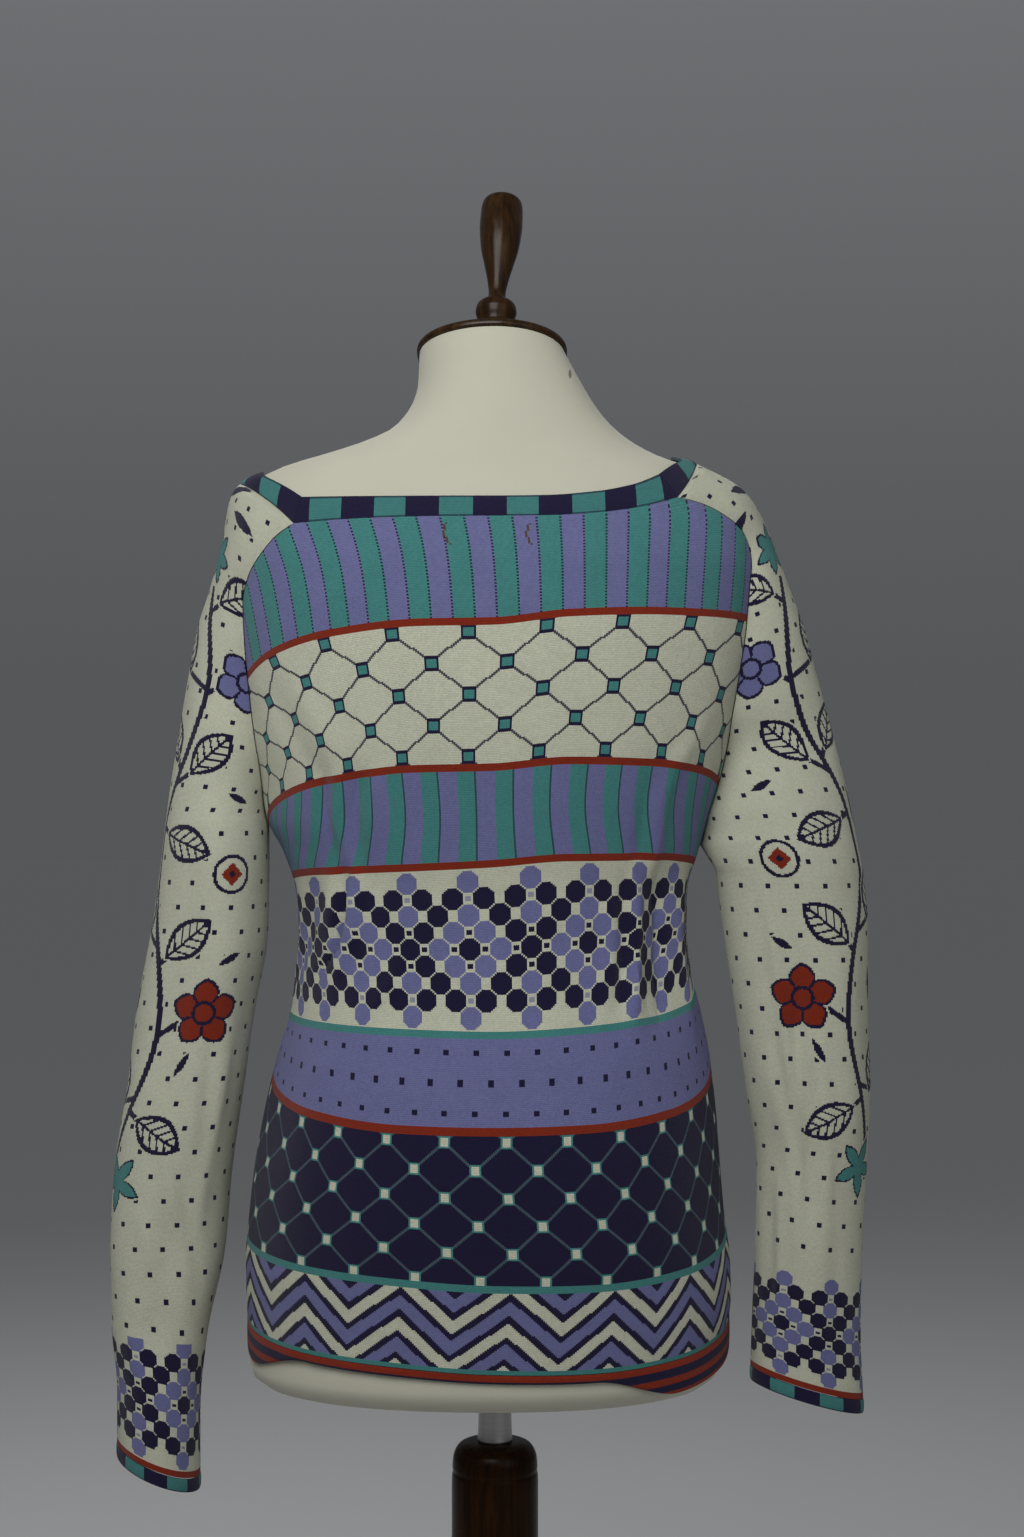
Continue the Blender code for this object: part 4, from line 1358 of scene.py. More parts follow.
def drawn_in(points: Array, by: float = SEAM / 2, sides: str = "lrbt") -> Array:
    """Moves a grid's outermost points inwards along the cloth, which leaves a seam's gap.

    Args:
        points: The grid.
        by: How far.
        sides: Which sides: left, right, bottom and top, by letter.

    Returns:
        The smaller grid.
    """
    moved = points.copy()
    if "l" in sides:
        moved[:, 0] += unit(points[:, 1] - points[:, 0]) * by
    if "r" in sides:
        moved[:, -1] += unit(points[:, -2] - points[:, -1]) * by
    if "b" in sides:
        moved[0] += unit(moved[1] - moved[0]) * by
    if "t" in sides:
        moved[-1] += unit(moved[-2] - moved[-1]) * by
    return moved


# ---------------------------------------------------------------- the panels


class KnitLine(NamedTuple):
    """A narrow line knitted round the body."""

    yarn: Yarn
    thick: float
    level: Level


class Ease(NamedTuple):
    """How the back's knit lies at a height: its shift in wales, a wale's width, and its gathers."""

    height: float
    shift: float
    wale: float
    left: float
    right: float


EASES = table(
    Ease,
    (780, -0.5, 1.42, 2, 3), (845, 3.5, 1.43, 1, 4), (930, 0.5, 1.36, 4, 5),
    (1020, 1.5, 1.35, 6, 9), (1120, 0, 1.4, 3, 5), (1165, -1, 1.3, 5, 3),
    (1205, -1.5, 1.38, 8, 4), (1250, -0.5, 1.44, 5, 2), (1300, 0, 1.55, 2, 1),
)
GATHER_RUN = 1.6
FAN_SHIFT, FAN_SPREAD = 7.0, 0.1
FAN_FROM, FAN_TO = 1303, 1375
FRONT_WALE = 1.42


@dataclass
class Panels:
    """The back and the two fronts, knitted in bands between coloured lines."""

    columns: int = 124
    front_columns: int = 64
    row_height: float = 3.9
    course: float = 1.2
    neck: Level = NECK_OUTER
    lines: tuple[KnitLine, ...] = (
        KnitLine(Yarn.TEAL, 3.4, Level.worn(778, 799, 800, 792, 4, -2)),
        KnitLine(Yarn.TEAL, 5.2, Level.worn(837, 858, 866, 851, 4, -2)),
        KnitLine(Yarn.RED, 5.8, Level.worn(945, 980, 984, 962)),
        KnitLine(Yarn.TEAL, 5.0, Level.worn(1010, 1018, 1038, 1022, 1, 2)),
        KnitLine(Yarn.RED, 5.3, Level.worn(1130, 1117, 1127, 1126, -3, 5)),
        KnitLine(Yarn.RED, 5.3, Level.worn(1198, 1148, 1186, 1186, 0, 6)),
        KnitLine(Yarn.RED, 5.3, Level.worn(1300, 1264, 1306, 1284, 0, 7)),
    )
    bands: tuple[Pattern, ...] = (
        Zigzag(27, -5, 25, 46, 25.4, (4.4, 13), (17.6, 25.4)),
        Trellis(
            Yarn.NAVY, Yarn.TEAL, Yarn.CREAM, Yarn.PALE_TEAL, 16, -6, 82.5, 16, (2.6, 3.1), (2.1, 2.6), 0.4, 0
        ),
        PinDots(Yarn.LILAC, 8, 16.5, -5.5, 7.5),
        Octagons(8, 10, 13.5, 87.5),
        Stripes(dotted=False),
        Trellis(
            Yarn.CREAM, Yarn.NAVY, Yarn.TEAL, Yarn.NAVY, 18, 11.5, 4.5, 18, (3.6, 4.6), (2.1, 2.6), 0.9, 0.5
        ),
        Stripes(pulls=((18.5, 51), (-16.5, 50))),
    )
    counts: tuple[float, ...] = (46, 86, 48, 95, 52, 80, 62)

    def hem(self) -> Level:
        """The line along which the rib is sewn on."""
        return self.lines[0].level.raised(-self.lines[0].thick / 2)

    def levels(self) -> tuple[list[Level], Array, Array]:
        """The rows of the panels, the zone of each strip between rows, and its courses."""
        marks: list[tuple[Level, int, float]] = [(self.hem(), 0, 0)]
        for index, line in enumerate(self.lines):
            if index:
                low = line.level.raised(-line.thick / 2)
                marks.append((low, len(self.lines) + index - 1, self.counts[index - 1]))
            marks.append((line.level.raised(line.thick / 2), index, line.thick / self.course))
        marks.append((self.neck, len(self.lines) * 2 - 1, self.counts[-1]))
        rows, zones, courses = [marks[0][0]], [], []
        for (low, _, _), (high, zone, count) in zip(marks, marks[1:]):
            steps = max(2, round((high.middle() - low.middle()) / self.row_height))
            for i in range(steps):
                share = (i + 1) / steps
                rows.append(low.towards(high, share))
                zones.append(zone)
                courses.append((count * i / steps, count * share))
        return rows, np.array(zones), np.array(courses)

    def materials(self) -> list[Material]:
        """The lines' and then the bands' knits."""
        knits = [Knit(f"knit line {i + 1}", Plain(line.yarn)) for i, line in enumerate(self.lines)]
        knits += [Knit(f"knit band {i + 1}", band) for i, band in enumerate(self.bands)]
        return [knit.dress() for knit in knits]

    def back_wales(self, run: Array, middle: Array) -> Array:
        """The wale at each point of the back, counted from its middle.

        Args:
            run: Distance round from the middle of the back.
            middle: The middle height of each point's row.

        Returns:
            The wales.
        """
        rise = np.clip((middle - FAN_FROM) / (FAN_TO - FAN_FROM), 0, 1)
        fan = (rise + rise**3) / 2
        run = (run - FAN_SHIFT * fan) / (1 + FAN_SPREAD * fan)
        ease = {n: column(EASES, "height", n, middle) for n in Ease._fields[1:]}
        far = abs(run) / 100
        past = np.maximum(far - GATHER_RUN, 0)
        near = np.minimum(far, GATHER_RUN)
        gather = np.where(run > 0, ease["left"], -ease["right"])
        return ease["shift"] + run / ease["wale"] + gather * (near**3 + 3 * GATHER_RUN**2 * past)

    def build(self) -> None:
        """Makes the back and the fronts."""
        rows, zones, courses = self.levels()
        knits = self.materials()
        angle, height = (np.stack(a) for a in zip(*(across_back(r, self.columns) for r in rows)))
        run = from_middle(angle, running(BODY_FACE.point(angle, height)))
        wales = self.back_wales(run, np.repeat([[r.middle()] for r in rows], self.columns + 1, axis=1))
        points = BODY_FACE.cloth(angle, height, bumps(BACK_CREASES, run, height))
        made = Cloth("knitted_back", drawn_in(points), wales, courses, knits, zones).lay()
        hang(made, "back_panel")
        for side in Side:
            ends = [(float(end_angle(side, np.array(r.end(side)), True)), r.end(side)) for r in rows]
            lines = (across_front(side, r, end, self.front_columns) for r, end in zip(rows, ends))
            angle, height = (np.stack(a) for a in zip(*lines))
            run = running(BODY_FACE.point(angle, height))
            run = Body.BAND_HALF + run[:, -1:] - run
            points = BODY_FACE.cloth(angle, height, bumps(FRONT_CREASES, run, height))
            name, wales = f"knitted_front_{side.word}", side * run / FRONT_WALE
            made = Cloth(name, drawn_in(points), wales, courses, knits, zones).lay()
            hang(made, f"front_{side.word}")


# ---------------------------------------------------------------- trims


class Shoulder(NamedTuple):
    """Where a side of the neck opening crosses the top of the shoulder, and its inner corners."""

    corner_reach: float
    corner_height: float
    inner_ridge: float
    outer_ridge: float


SHOULDERS = {LEFT: Shoulder(138, 1392, 1416, 1407), RIGHT: Shoulder(118, 1409, 1427, 1422)}


def shoulder_lines(side: Side, columns: int) -> list[Line]:
    """The two edges of the trim over a shoulder.

    Args:
        side: The wearer's side.
        columns: How many columns the points part.

    Returns:
        The outer and the inner line, as angles and heights from the back corner to the front one.
    """
    seam = armhole_knots(side, False)[-1]
    shoulder = SHOULDERS[side]
    share = np.linspace(0, 1, columns + 1)
    lines = []
    for reach, corner, ridge in (
        (abs(BODY_FACE.point(*seam)[0]), seam[1], shoulder.outer_ridge),
        (shoulder.corner_reach, shoulder.corner_height, shoulder.inner_ridge),
    ):
        back, front = (float(BODY_FACE.angle_at(side * reach, np.array(corner), f)) for f in (False, True))
        lift = 1 - (2 * share - 1) ** 2
        lines.append((back + (front - back) * share, corner + (ridge - corner) * lift))
    return lines


@dataclass
class NeckTrim:
    """The block trim round the neck, mitred at its four corners."""

    columns: int = 130
    shoulder_columns: int = 64
    rows: int = 5
    high: float = 13
    wale: float = 1.5
    block: float = 15.75
    start: float = -5.5
    shoulder_block: float = 15
    last_block: float = 5.5
    roll: float = 0.7
    stand: float = 0.5

    def strip(
        self,
        name: str,
        node: str,
        lines: Sequence[Line],
        knit: Knit,
        flat: tuple[float, float],
        centred: bool = False,
    ) -> None:
        """Makes one strip of the trim.

        Args:
            name: Its name.
            node: The solid that it replaces.
            lines: Its outer and its inner line, as angles and heights.
            knit: Its knit.
            flat: The two sides of its cut, in metres; not used.
            centred: Whether its wales are counted from the middle of the back.
        """
        share = np.linspace(0, 1, self.rows + 1)[:, None]
        angle, height = (low + (high - low) * share for low, high in zip(*lines))
        rounding = self.roll * (1 - (2 * share - 1) ** 4) - self.roll
        points = BODY_FACE.cloth(angle, height, rounding + self.stand)
        run = from_middle(angle, running(points)) if centred else running(points)
        courses = np.repeat(share * self.high, angle.shape[1], axis=1)
        made = Cloth(name, drawn_in(points), run / self.wale, courses, [knit.dress()], wall=TRIM_WALL).lay()
        hang(made, node)

    def build(self) -> None:
        """Makes the five strips."""
        corners: dict[Side, list[Line]] = {}
        for side in Side:
            lines = corners[side] = shoulder_lines(side, self.shoulder_columns)
            knit = Knit(f"trim knit shoulder {side.word}", Blocks(self.shoulder_block, 0, self.high), 0.5)
            self.strip(f"trim_shoulder_{side.word}", f"neck_trim_{side.word}", lines, knit, (0.165, 0.018))
            lines = [
                across_front(side, level, (angle[-1], height[-1]), self.columns // 2)
                for level, (angle, height) in zip((NECK_OUTER, NECK_INNER), lines)
            ]
            knit = Knit(f"trim knit front {side.word}", Blocks(self.block, 0, self.high), 0.5)
            node = f"neck_trim_front_{side.word}"
            self.strip(f"trim_neck_front_{side.word}", node, lines, knit, (0.14, 0.018))
        lines = [
            across_back(level, self.columns, [float(corners[side][i][0][0]) for side in Side])
            for i, level in enumerate((NECK_OUTER, NECK_INNER))
        ]
        blocks = Blocks(self.block, self.start, self.high, self.last_block * self.block)
        knit = Knit("trim knit back", blocks, 0.5)
        self.strip("trim_neck_back", "neck_trim_back", lines, knit, (0.30, 0.017), centred=True)


@dataclass
class HemRib:
    """The striped rib round the hem, turned under across the back."""

    side_height: float = 23
    back_height: float = 5.5
    turn_from: tuple[float, float] = (0.58, 0.32)
    turn_to: tuple[float, float] = (0.86, 0.6)
    hook: float = 6
    lip: float = 0.8
    rib: float = 2.1
    ridge: float = 0.35
    columns: int = 220

    def ring(self, angle: float, height: float, run: float) -> tuple[Array, Array]:
        """One cut through the rib.

        Args:
            angle: Angle of the place on the hem.
            height: Its height.
            run: Its distance along the hem.

        Returns:
            The rib's outline there, and the distance down it of each point.
        """
        side = 0 if angle > 0 else 1
        turned = 1 - float(ramp(abs(angle) / QUARTER, self.turn_from[side], self.turn_to[side]))
        drop = self.side_height + (self.back_height - self.side_height) * turned
        hook = self.lip + self.hook * turned
        point = BODY_FACE.cloth(np.array(angle), np.array(height))
        way = BODY_FACE.way(np.array(angle), np.array(height))
        way = unit(np.array([way[0], way[1], 0]))
        wave = self.ridge * math.sin(2 * math.pi * run / self.rib)
        outline = np.array(
            [
                (-0.2, SEAM),
                (0.2 + wave * 0.5, SEAM + 1),
                (0.3 + wave, drop * 0.3),
                (0.3 + wave, drop * 0.6),
                (0.1 + wave, drop * 0.9),
                (-0.3 + wave * 0.7, drop + 0.6),
                (-1.2, drop + 1.1),
                (-2.4, drop + 1),
                (-3.3, drop + 0.2),
                (-3.6, drop - hook),
                (-2.2, drop - hook - 0.2),
                (-1.9, drop - 0.6 * min(hook, 1)),
                (-1.7, drop * 0.5 - 0.2),
                (-1.8, SEAM),
            ]
        )
        points = point + way * outline[:, :1] + np.array([0, 0, -1]) * outline[:, 1:]
        return points, running(outline)

    def stretch(self, name: str, angles: Array, heights: Array, node: str, flat: float, knit: Knit) -> None:
        """Makes one stretch of the rib.

        Args:
            name: Its name.
            angles: The hem's angles.
            heights: The hem's heights.
            node: The solid that it replaces.
            flat: The length of its cut, in metres; not used.
            knit: Its knit.
        """
        run = running(BODY_FACE.point(angles, heights))
        rings, downs = [], []
        for place in zip(angles.tolist(), heights.tolist(), run.tolist()):
            points, down = self.ring(*place)
            rings.append(np.concatenate([points, points[:1]]))
            downs.append(np.append(down, down[-1] + 1.5))
        points = drawn_in(np.stack(rings, axis=1), sides="lr")
        wales = np.repeat((run / self.rib)[None], points.shape[0], axis=0)
        made = Cloth(name, points, wales, np.stack(downs, axis=1), [knit.dress()], wall=0).lay()
        close_ends(made)
        hang(made, node)

    def build(self, panels: Panels) -> None:
        """Makes the three stretches."""
        hem = panels.hem()
        back = across_back(hem, self.columns)
        self.stretch("rib_hem_back", *back, "hem_rib_back", 0.48, Knit("rib knit back", RibStripes()))
        for side in Side:
            front = across_front(side, hem, (side * QUARTER, hem.end(side)), self.columns // 2)
            node, knit = f"hem_rib_front_{side.word}", Knit(f"rib knit front {side.word}", RibStripes())
            self.stretch(f"rib_hem_front_{side.word}", *front, node, 0.23, knit)


@dataclass
class FrontBands:
    """The button band and the buttonhole band that laps over it."""

    rows: int = 150
    columns: int = 10
    block: float = 16
    wale: float = 1.5
    roll: float = 0.5

    def build(self, panels: Panels, rib: HemRib) -> None:
        """Makes both bands."""
        low, high = panels.hem().front - rib.side_height, NECK_INNER.front
        heights = np.linspace(low, high, self.rows + 1)[:, None]
        reach = np.linspace(Body.BAND_HALF, -Body.BAND_HALF, self.columns + 1)[None]
        reach, heights = np.broadcast_arrays(reach, heights)
        angle = BODY_FACE.angle_at(reach, heights, True)
        angle = np.where(angle < 0, angle + 2 * HALF, angle)
        way = BODY_FACE.way(angle, heights)
        edge = self.roll * (1 - (reach / Body.BAND_HALF) ** 6) - self.roll
        for name, out in (("button_band", 0.0), ("buttonhole_band", Body.LAP_RISE)):
            points = BODY_FACE.point(angle, heights) + way * (out + edge)[..., None]
            knit = Knit(f"{name} knit", Blocks(self.block, 3, 19), 0.5)
            courses = (reach + Body.BAND_HALF) / self.wale
            made = Cloth(f"{name}_knit", points, (heights - low) / self.wale, courses, [knit.dress()]).lay()
            hang(made, name)


# ---------------------------------------------------------------- turned pieces


class Turned(NamedTuple):
    """A point of a turned piece's outline: its place along the axis and its radius."""

    along: float
    radius: float


@dataclass
class TurnedPiece:
    """A round piece, drawn out of a circle ring by ring along its axis."""

    name: str
    outline: tuple[Turned, ...]
    sides: int
    step: float = 1.5
    smooth_outline: bool = True

    def profile(self) -> list[Turned]:
        """The outline at fine steps, on a smooth curve through its points."""
        if not self.smooth_outline:
            return list(self.outline)
        points = np.array(self.outline, float)
        runs = running(points)
        count = max(2, round(runs[-1] / self.step))
        at = np.union1d(np.linspace(0, runs[-1], count + 1), runs)
        at = at[np.concatenate([[True], np.diff(at) > 0.15])]
        return [Turned(*row) for row in through(points, runs, at)]

    def make(self, material: Material, place: Matrix = Matrix()) -> Object:
        """Makes the piece.

        Args:
            material: What it is made of.
            place: Takes the axis from +Z at the origin to where the piece stands.

        Returns:
            The piece.
        """
        rows = self.profile()
        foot = (0, 0, rows[0].along * MM)
        put_down()
        bpy.ops.mesh.primitive_circle_add(
            vertices=self.sides, radius=rows[0].radius * MM, fill_type="NGON", location=foot
        )
        obj = bpy.context.object
        obj.name = obj.data.name = self.name
        bpy.ops.object.mode_set(mode="EDIT")
        bpy.ops.mesh.select_all(action="SELECT")
        for before, row in zip(rows, rows[1:]):
            rise = (0, 0, (row.along - before.along) * MM)
            bpy.ops.mesh.extrude_region_move(TRANSFORM_OT_translate={"value": rise})
            grow = row.radius / before.radius
            bpy.ops.transform.resize(value=(grow, grow, 1), center_override=(0, 0, row.along * MM))
        bpy.ops.mesh.select_all(action="SELECT")
        bpy.ops.mesh.normals_make_consistent(inside=False)
        pick(obj)
        bpy.ops.object.transform_apply(location=True, rotation=True, scale=True)
        obj.data.transform(place)
        obj.data.materials.append(material)
        shade(obj, 40)
        return obj


@dataclass
class Buttons:
    """Seven rimmed buttons with four holes on the buttonhole band."""

    count: int = 7
    radius: float = 7.5
    gap: float = 0.5
    hole: float = 0.85
    hole_reach: float = 1.7

    def shape(self) -> Object:
        """Makes one button at the origin, facing +Z."""
        r = self.radius
        outline = table(
            Turned,
            (0, 0.7 * r), (0.05, 0.97 * r), (0.5, r), (1.3, r), (2.1, 0.94 * r), (2.4, 0.84 * r),
            (2.35, 0.7 * r), (1.8, 0.56 * r), (1.6, 0.3 * r),
        )
        horn = Wood("button horn", (0.012, 0.01, 0.022), (0.06, 0.05, 0.08), 0.3, gloss=0.4).dress()
        button = TurnedPiece("button_shape", outline, 40, smooth_outline=False).make(horn)
        for k in range(4):
            put_down()
            turn, reach = QUARTER * (k + 0.5), self.hole_reach * MM
            bpy.ops.mesh.primitive_cylinder_add(
                vertices=12,
                radius=self.hole * MM,
                depth=0.006,
                location=(math.cos(turn) * reach, math.sin(turn) * reach, 0.001),
            )
            drill = bpy.context.object
            apply_modifier(button, "BOOLEAN", object=drill, operation="DIFFERENCE", solver="EXACT")
            bpy.data.objects.remove(drill, do_unlink=True)
        return button

    def build(self) -> None:
        """Makes the row of buttons."""
        shape = self.shape()
        for number in range(1, self.count + 1):
            low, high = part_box(f"button_{number}")
            height = (low.z + high.z) / 2 / MM
            way = BODY_FACE.way(np.array(HALF), np.array(height))
            seat = BODY_FACE.point(np.array(HALF), np.array(height)) + way * (Body.LAP_RISE + self.gap)
            turn = Vector(way).to_track_quat("Z", "Y").to_matrix().to_4x4()
            made = bpy.data.objects.new(f"button_turned_{number}", shape.data.copy())
            bpy.context.scene.collection.objects.link(made)
            made.data.transform(Matrix.Translation(Vector(seat * MM)) @ turn)
            report(made, f"button_{number}")
        bpy.data.objects.remove(shape, do_unlink=True)


# ---------------------------------------------------------------- sleeves


class SleeveRing(NamedTuple):
    """A level cut through a sleeve: where its faces lie, and how far its inner edge is above its middle."""

    height: float
    inner: float
    outer: float
    back: float
    front: float
    drop: float


class SleeveFold(NamedTuple):
    """A soft fold on a sleeve: its turn from the inner edge by way of the back, heights, width and rise."""

    turn: float
    high: float
    low: float
    width: float
    rise: float
    lean: float = 0.0


SLEEVES = {
    LEFT: table(
        SleeveRing,
        (1122, 167, 247, 52, -52, 0), (1077, 168, 254, 48, -50, 0), (1018, 178, 265, 43, -47, 0),
        (959, 186.5, 272, 40, -45, 0), (899, 195, 281, 37, -45, 0),
        (840, 200.5, 284, 34, -45, 0), (781, 214, 284, 31, -44, -6),
        (730, 219, 280, 30, -43, -10), (687, 219, 280, 30, -43, -13),
    ),
    RIGHT: table(
        SleeveRing,
        (1122, 163, 272, 46, -46, 0), (1077, 169, 276, 42, -45, 0), (1018, 178, 276, 38, -42, 0),
        (959, 186, 278, 34, -41, 0), (899, 194, 275, 31, -40, 4), (840, 193, 272, 28, -38, 6),
        (790, 191, 271, 25, -36, 9), (743, 189.5, 273, 23, -34, 12),
    ),
}
OUTER_LINES = {
    LEFT: table(
        SeamRow,
        (1157, 243), (1181, 240), (1225, 233), (1255, 228), (1299, 220), (1329, 210.5),
        (1358, 202.5), (1376, 199), (1391, 196.5), (1401, 193), (1407, 188),
    ),
    RIGHT: table(
        SeamRow,
        (1141, 268), (1181, 260), (1225, 249), (1269, 237), (1299, 229), (1329, 218),
        (1358, 207), (1375, 200.5), (1390, 193), (1405, 180), (1422, 148),
    ),
}
SLEEVE_FOLDS = {
    LEFT: table(
        SleeveFold,
        (110, 1170, 960, 26, -5), (60, 1100, 900, 24, 3.5), (140, 980, 790, 24, 3),
        (85, 880, 760, 22, -4), (250, 1120, 900, 26, -4), (290, 960, 800, 24, 3),
        (68, 1010, 900, 9, -2.6, -14), (108, 950, 850, 10, 2.0, -44),
        (82, 910, 810, 9, -2.0, -40), (118, 880, 790, 10, 1.9, -46),
        (96, 840, 765, 10, -1.6, -40), (48, 1010, 850, 9, 2.2, 8),
        (100, 800, 735, 14, -1.4, -20),
    ),
    RIGHT: table(
        SleeveFold,
        (75, 1150, 980, 26, -5), (120, 1080, 900, 24, 4), (45, 960, 800, 22, -3.5),
        (95, 880, 770, 24, 3), (255, 1110, 920, 26, -4), (300, 950, 800, 24, 3),
        (64, 1120, 960, 7, 3.0, 6), (80, 1040, 900, 7, -2.8, -8), (58, 1000, 860, 8, -2.4, 16),
        (96, 1010, 860, 8, 2.8, 4), (44, 900, 790, 8, 2.4, 10), (110, 860, 780, 10, -1.4, 8),
    ),
}
VINE_SHIFTS = {LEFT: 0, RIGHT: 22}


@dataclass
class Sleeve:
    """A slack sleeve set into its armhole, with a block trim round its cuff."""

    side: Side
    cap_rows: int = 60
    columns: int = 112
    row_height: float = 3.9
    clear: float = 1.0
    fullness: float = 2.0
    fold_depth: float = 1.15
    wale: float = 1.16
    course: float = 0.9
    red_line: float = 4.5
    cluster_top: float = 93
    cluster_peak: float = 83
    cluster_at: float = 5.5
    near: float = 0.01
    cuff_edge: tuple[tuple[float, float], ...] = ((SEAM, 0), (2.5, 0.5), (5.5, 0.6), (8.5, 0.5), (10.5, 0))
    cuff_pair: float = 38
    cuff_block: float = 12
    cuff_course: float = 1.25

    def fold_rise(self, turn: Array, height: Array) -> Array:
        """How far the sleeve's folds push its cloth out."""
        total = np.zeros(np.broadcast(turn, height).shape)
        for fold in SLEEVE_FOLDS[self.side]:
            along = (fold.high - height) / (fold.high - fold.low)
            across = (turn - fold.turn - fold.lean * along + 180) % 360 - 180
            total = total + fold.rise * fold_ends(along) * np.exp(-((across / fold.width) ** 2))
        return total * self.fold_depth

    def ring(self, turn: Array, height: float) -> Array:
        """A ring of the hanging sleeve: turn 0 is its inner edge, 90 its back, 180 its outer edge."""
        rows = SLEEVES[self.side]
        cut = {n: float(column(rows, "height", n, height)) for n in SleeveRing._fields[1:]}
        along, deep = np.cos(np.radians(turn)), np.sin(np.radians(turn))
        fold = self.fold_rise(turn, np.full_like(turn, height))
        x = (cut["inner"] + cut["outer"]) / 2 - ((cut["outer"] - cut["inner"]) / 2 + fold) * along
        y = (cut["back"] + cut["front"]) / 2 + ((cut["back"] - cut["front"]) / 2 + fold) * deep
        return np.stack([self.side * x, y, height + cut["drop"] * along], axis=-1)

    def pushed_out(self, points: Array) -> Array:
        """The points, or ones out from them at their height that stand clear of the body's face."""
        x, y = points[..., 0], points[..., 1]
        scale = np.maximum(1, (1 + self.clear / np.hypot(x, y)) / BODY_FACE.share_out(x, y, points[..., 2]))
        moved = points.copy()
        moved[..., :2] *= scale[..., None]
        return moved

    def cap_half(self, start: Array, outer: Array, depth: float, facing: int) -> Array:
        """Half a row of the cap.

        Args:
            start: The point on the armhole seam.
            outer: The point on the outermost line.
            depth: How deep the cap bulges there.
            facing: 1 behind, and -1 in front.

        Returns:
            The points, from the seam outwards.
        """
        deep = math.hypot(start[1], depth)
        lead = math.asin(min(1, abs(start[1]) / deep))
        half_width = (abs(outer[0]) - abs(start[0])) / (1 + math.cos(lead))
        middle = abs(outer[0]) - half_width
        share = np.linspace(0, 1, self.columns // 2 + 1)
        turn = lead + (HALF - lead) * share
        height = start[2] + (outer[2] - start[2]) * np.sin(share * QUARTER)
        degrees = np.degrees(turn) if facing > 0 else 360 - np.degrees(turn)
        fold = self.fold_rise(degrees, height) * np.sin(share * QUARTER) ** 0.5
        x = middle - (half_width + fold) * np.cos(turn)
        y = facing * (deep + fold) * np.sin(turn)
        points = self.pushed_out(np.stack([self.side * x, y, height], axis=-1))
        points[0] = start
        return points

    def tube_heights(self) -> Array:
        """The heights of the tube's rings below the cap, with rows at the red line and the cluster's top."""
        rows = SLEEVES[self.side]
        top, end = rows[0].height, rows[-1].height
        peak, line = end + self.cluster_top, end + self.red_line
        upper = np.linspace(top, peak, round((top - peak) / self.row_height) + 1)
        return np.concatenate([upper, np.linspace(peak, line, 25)[1:], np.linspace(line, end, 3)[1:]])

    def grid(self) -> Array:
        """The sleeve's points, from the trim down to the cuff."""
        back, front = (armhole(self.side, f, self.cap_rows) for f in (False, True))
        knots = np.array([(r.reach, r.height) for r in OUTER_LINES[self.side]], float)
        runs = running(knots)
        reach, height = through(knots, runs, np.linspace(0, runs[-1], self.cap_rows + 1)).T
        outer = np.stack([self.side * reach, np.zeros_like(reach), height], axis=-1)
        top_ring = SLEEVES[self.side][0]
        rows = [BODY_FACE.point(*shoulder_lines(self.side, self.columns)[0])]
        for i in range(self.cap_rows - 1, -1, -1):
            full = (1 - i / self.cap_rows) ** self.fullness
            behind = self.cap_half(BODY_FACE.point(*back[i]), outer[i], top_ring.back * full, 1)
            ahead = self.cap_half(BODY_FACE.point(*front[i]), outer[i], -top_ring.front * full, -1)
            rows.append(np.concatenate([behind, ahead[-2::-1]]))
        turn = np.linspace(0, 360, self.columns + 1)
        rows += [self.ring(turn, h) for h in self.tube_heights()]
        points = np.stack(rows)
        cap = self.cap_rows
        for edge, beside, seam in ((0, 1, back), (-1, -2, front)):
            inward = unit(points[1:cap, beside] - points[1:cap, edge])
            way = BODY_FACE.way(seam[cap - 1 : 0 : -1, 0], seam[cap - 1 : 0 : -1, 1])
            points[1:cap, edge] += inward * SEAM + way * SEAM
        points[0] += unit(points[1] - points[0]) * SEAM
        return points

    def build(self) -> None:
        """Makes the sleeve and its cuff trim."""
        points = self.grid()
        name = self.side.word
        middle = self.columns // 2
        down = running(points[:, middle])
        run = running(points)
        run = run[:, middle : middle + 1] - run
        heights = self.tube_heights()
        lower = np.append(np.full(self.cap_rows + 1, np.inf), heights[1:] - heights[-1])
        zones = (lower < self.cluster_top - self.near).astype(int) + (lower < self.red_line - self.near)
        courses = np.repeat((down[-1] - down)[:, None] / self.course, points.shape[1], axis=1)
        knits = (
            Knit(f"sleeve knit {name}", Vine(self.wale, self.course, VINE_SHIFTS[self.side])),
            Knit(f"sleeve cluster {name}", Octagons(8, 10, self.cluster_at, self.cluster_peak / self.course)),
            Knit(f"sleeve line {name}", Plain(Yarn.RED)),
        )
        dressed = [knit.dress() for knit in knits]
        made = Cloth(f"knitted_sleeve_{name}", points, run / self.wale, courses, dressed, zones).lay()
        hang(made, f"sleeve_{name}")
        self.trim(points[-1], name)

    def trim(self, edge: Array, name: str) -> None:
        """Makes the block trim round the cuff."""
        outward = edge - edge[:-1].mean(axis=0)
        outward[:, 2] = 0
        outward = unit(outward)
        points = np.stack([edge + outward * out - np.array([0, 0, drop]) for drop, out in self.cuff_edge])
        run = running(points)
        pairs = round(run[0, -1] / self.cuff_pair)
        wales = run / run[:, -1:] * 2 * pairs * self.cuff_block
        up = [(self.cuff_edge[-1][0] - drop) / self.cuff_course for drop, _ in self.cuff_edge]
        courses = np.repeat(np.array(up)[:, None], points.shape[1], axis=1)
        knit = Knit(f"cuff trim knit {name}", Blocks(self.cuff_block, 4, 9), 0.5)
        made = Cloth(f"trim_cuff_{name}", points, wales, courses, [knit.dress()]).lay()
        hang(made, f"cuff_trim_{name}")


# ---------------------------------------------------------------- the form and its stand


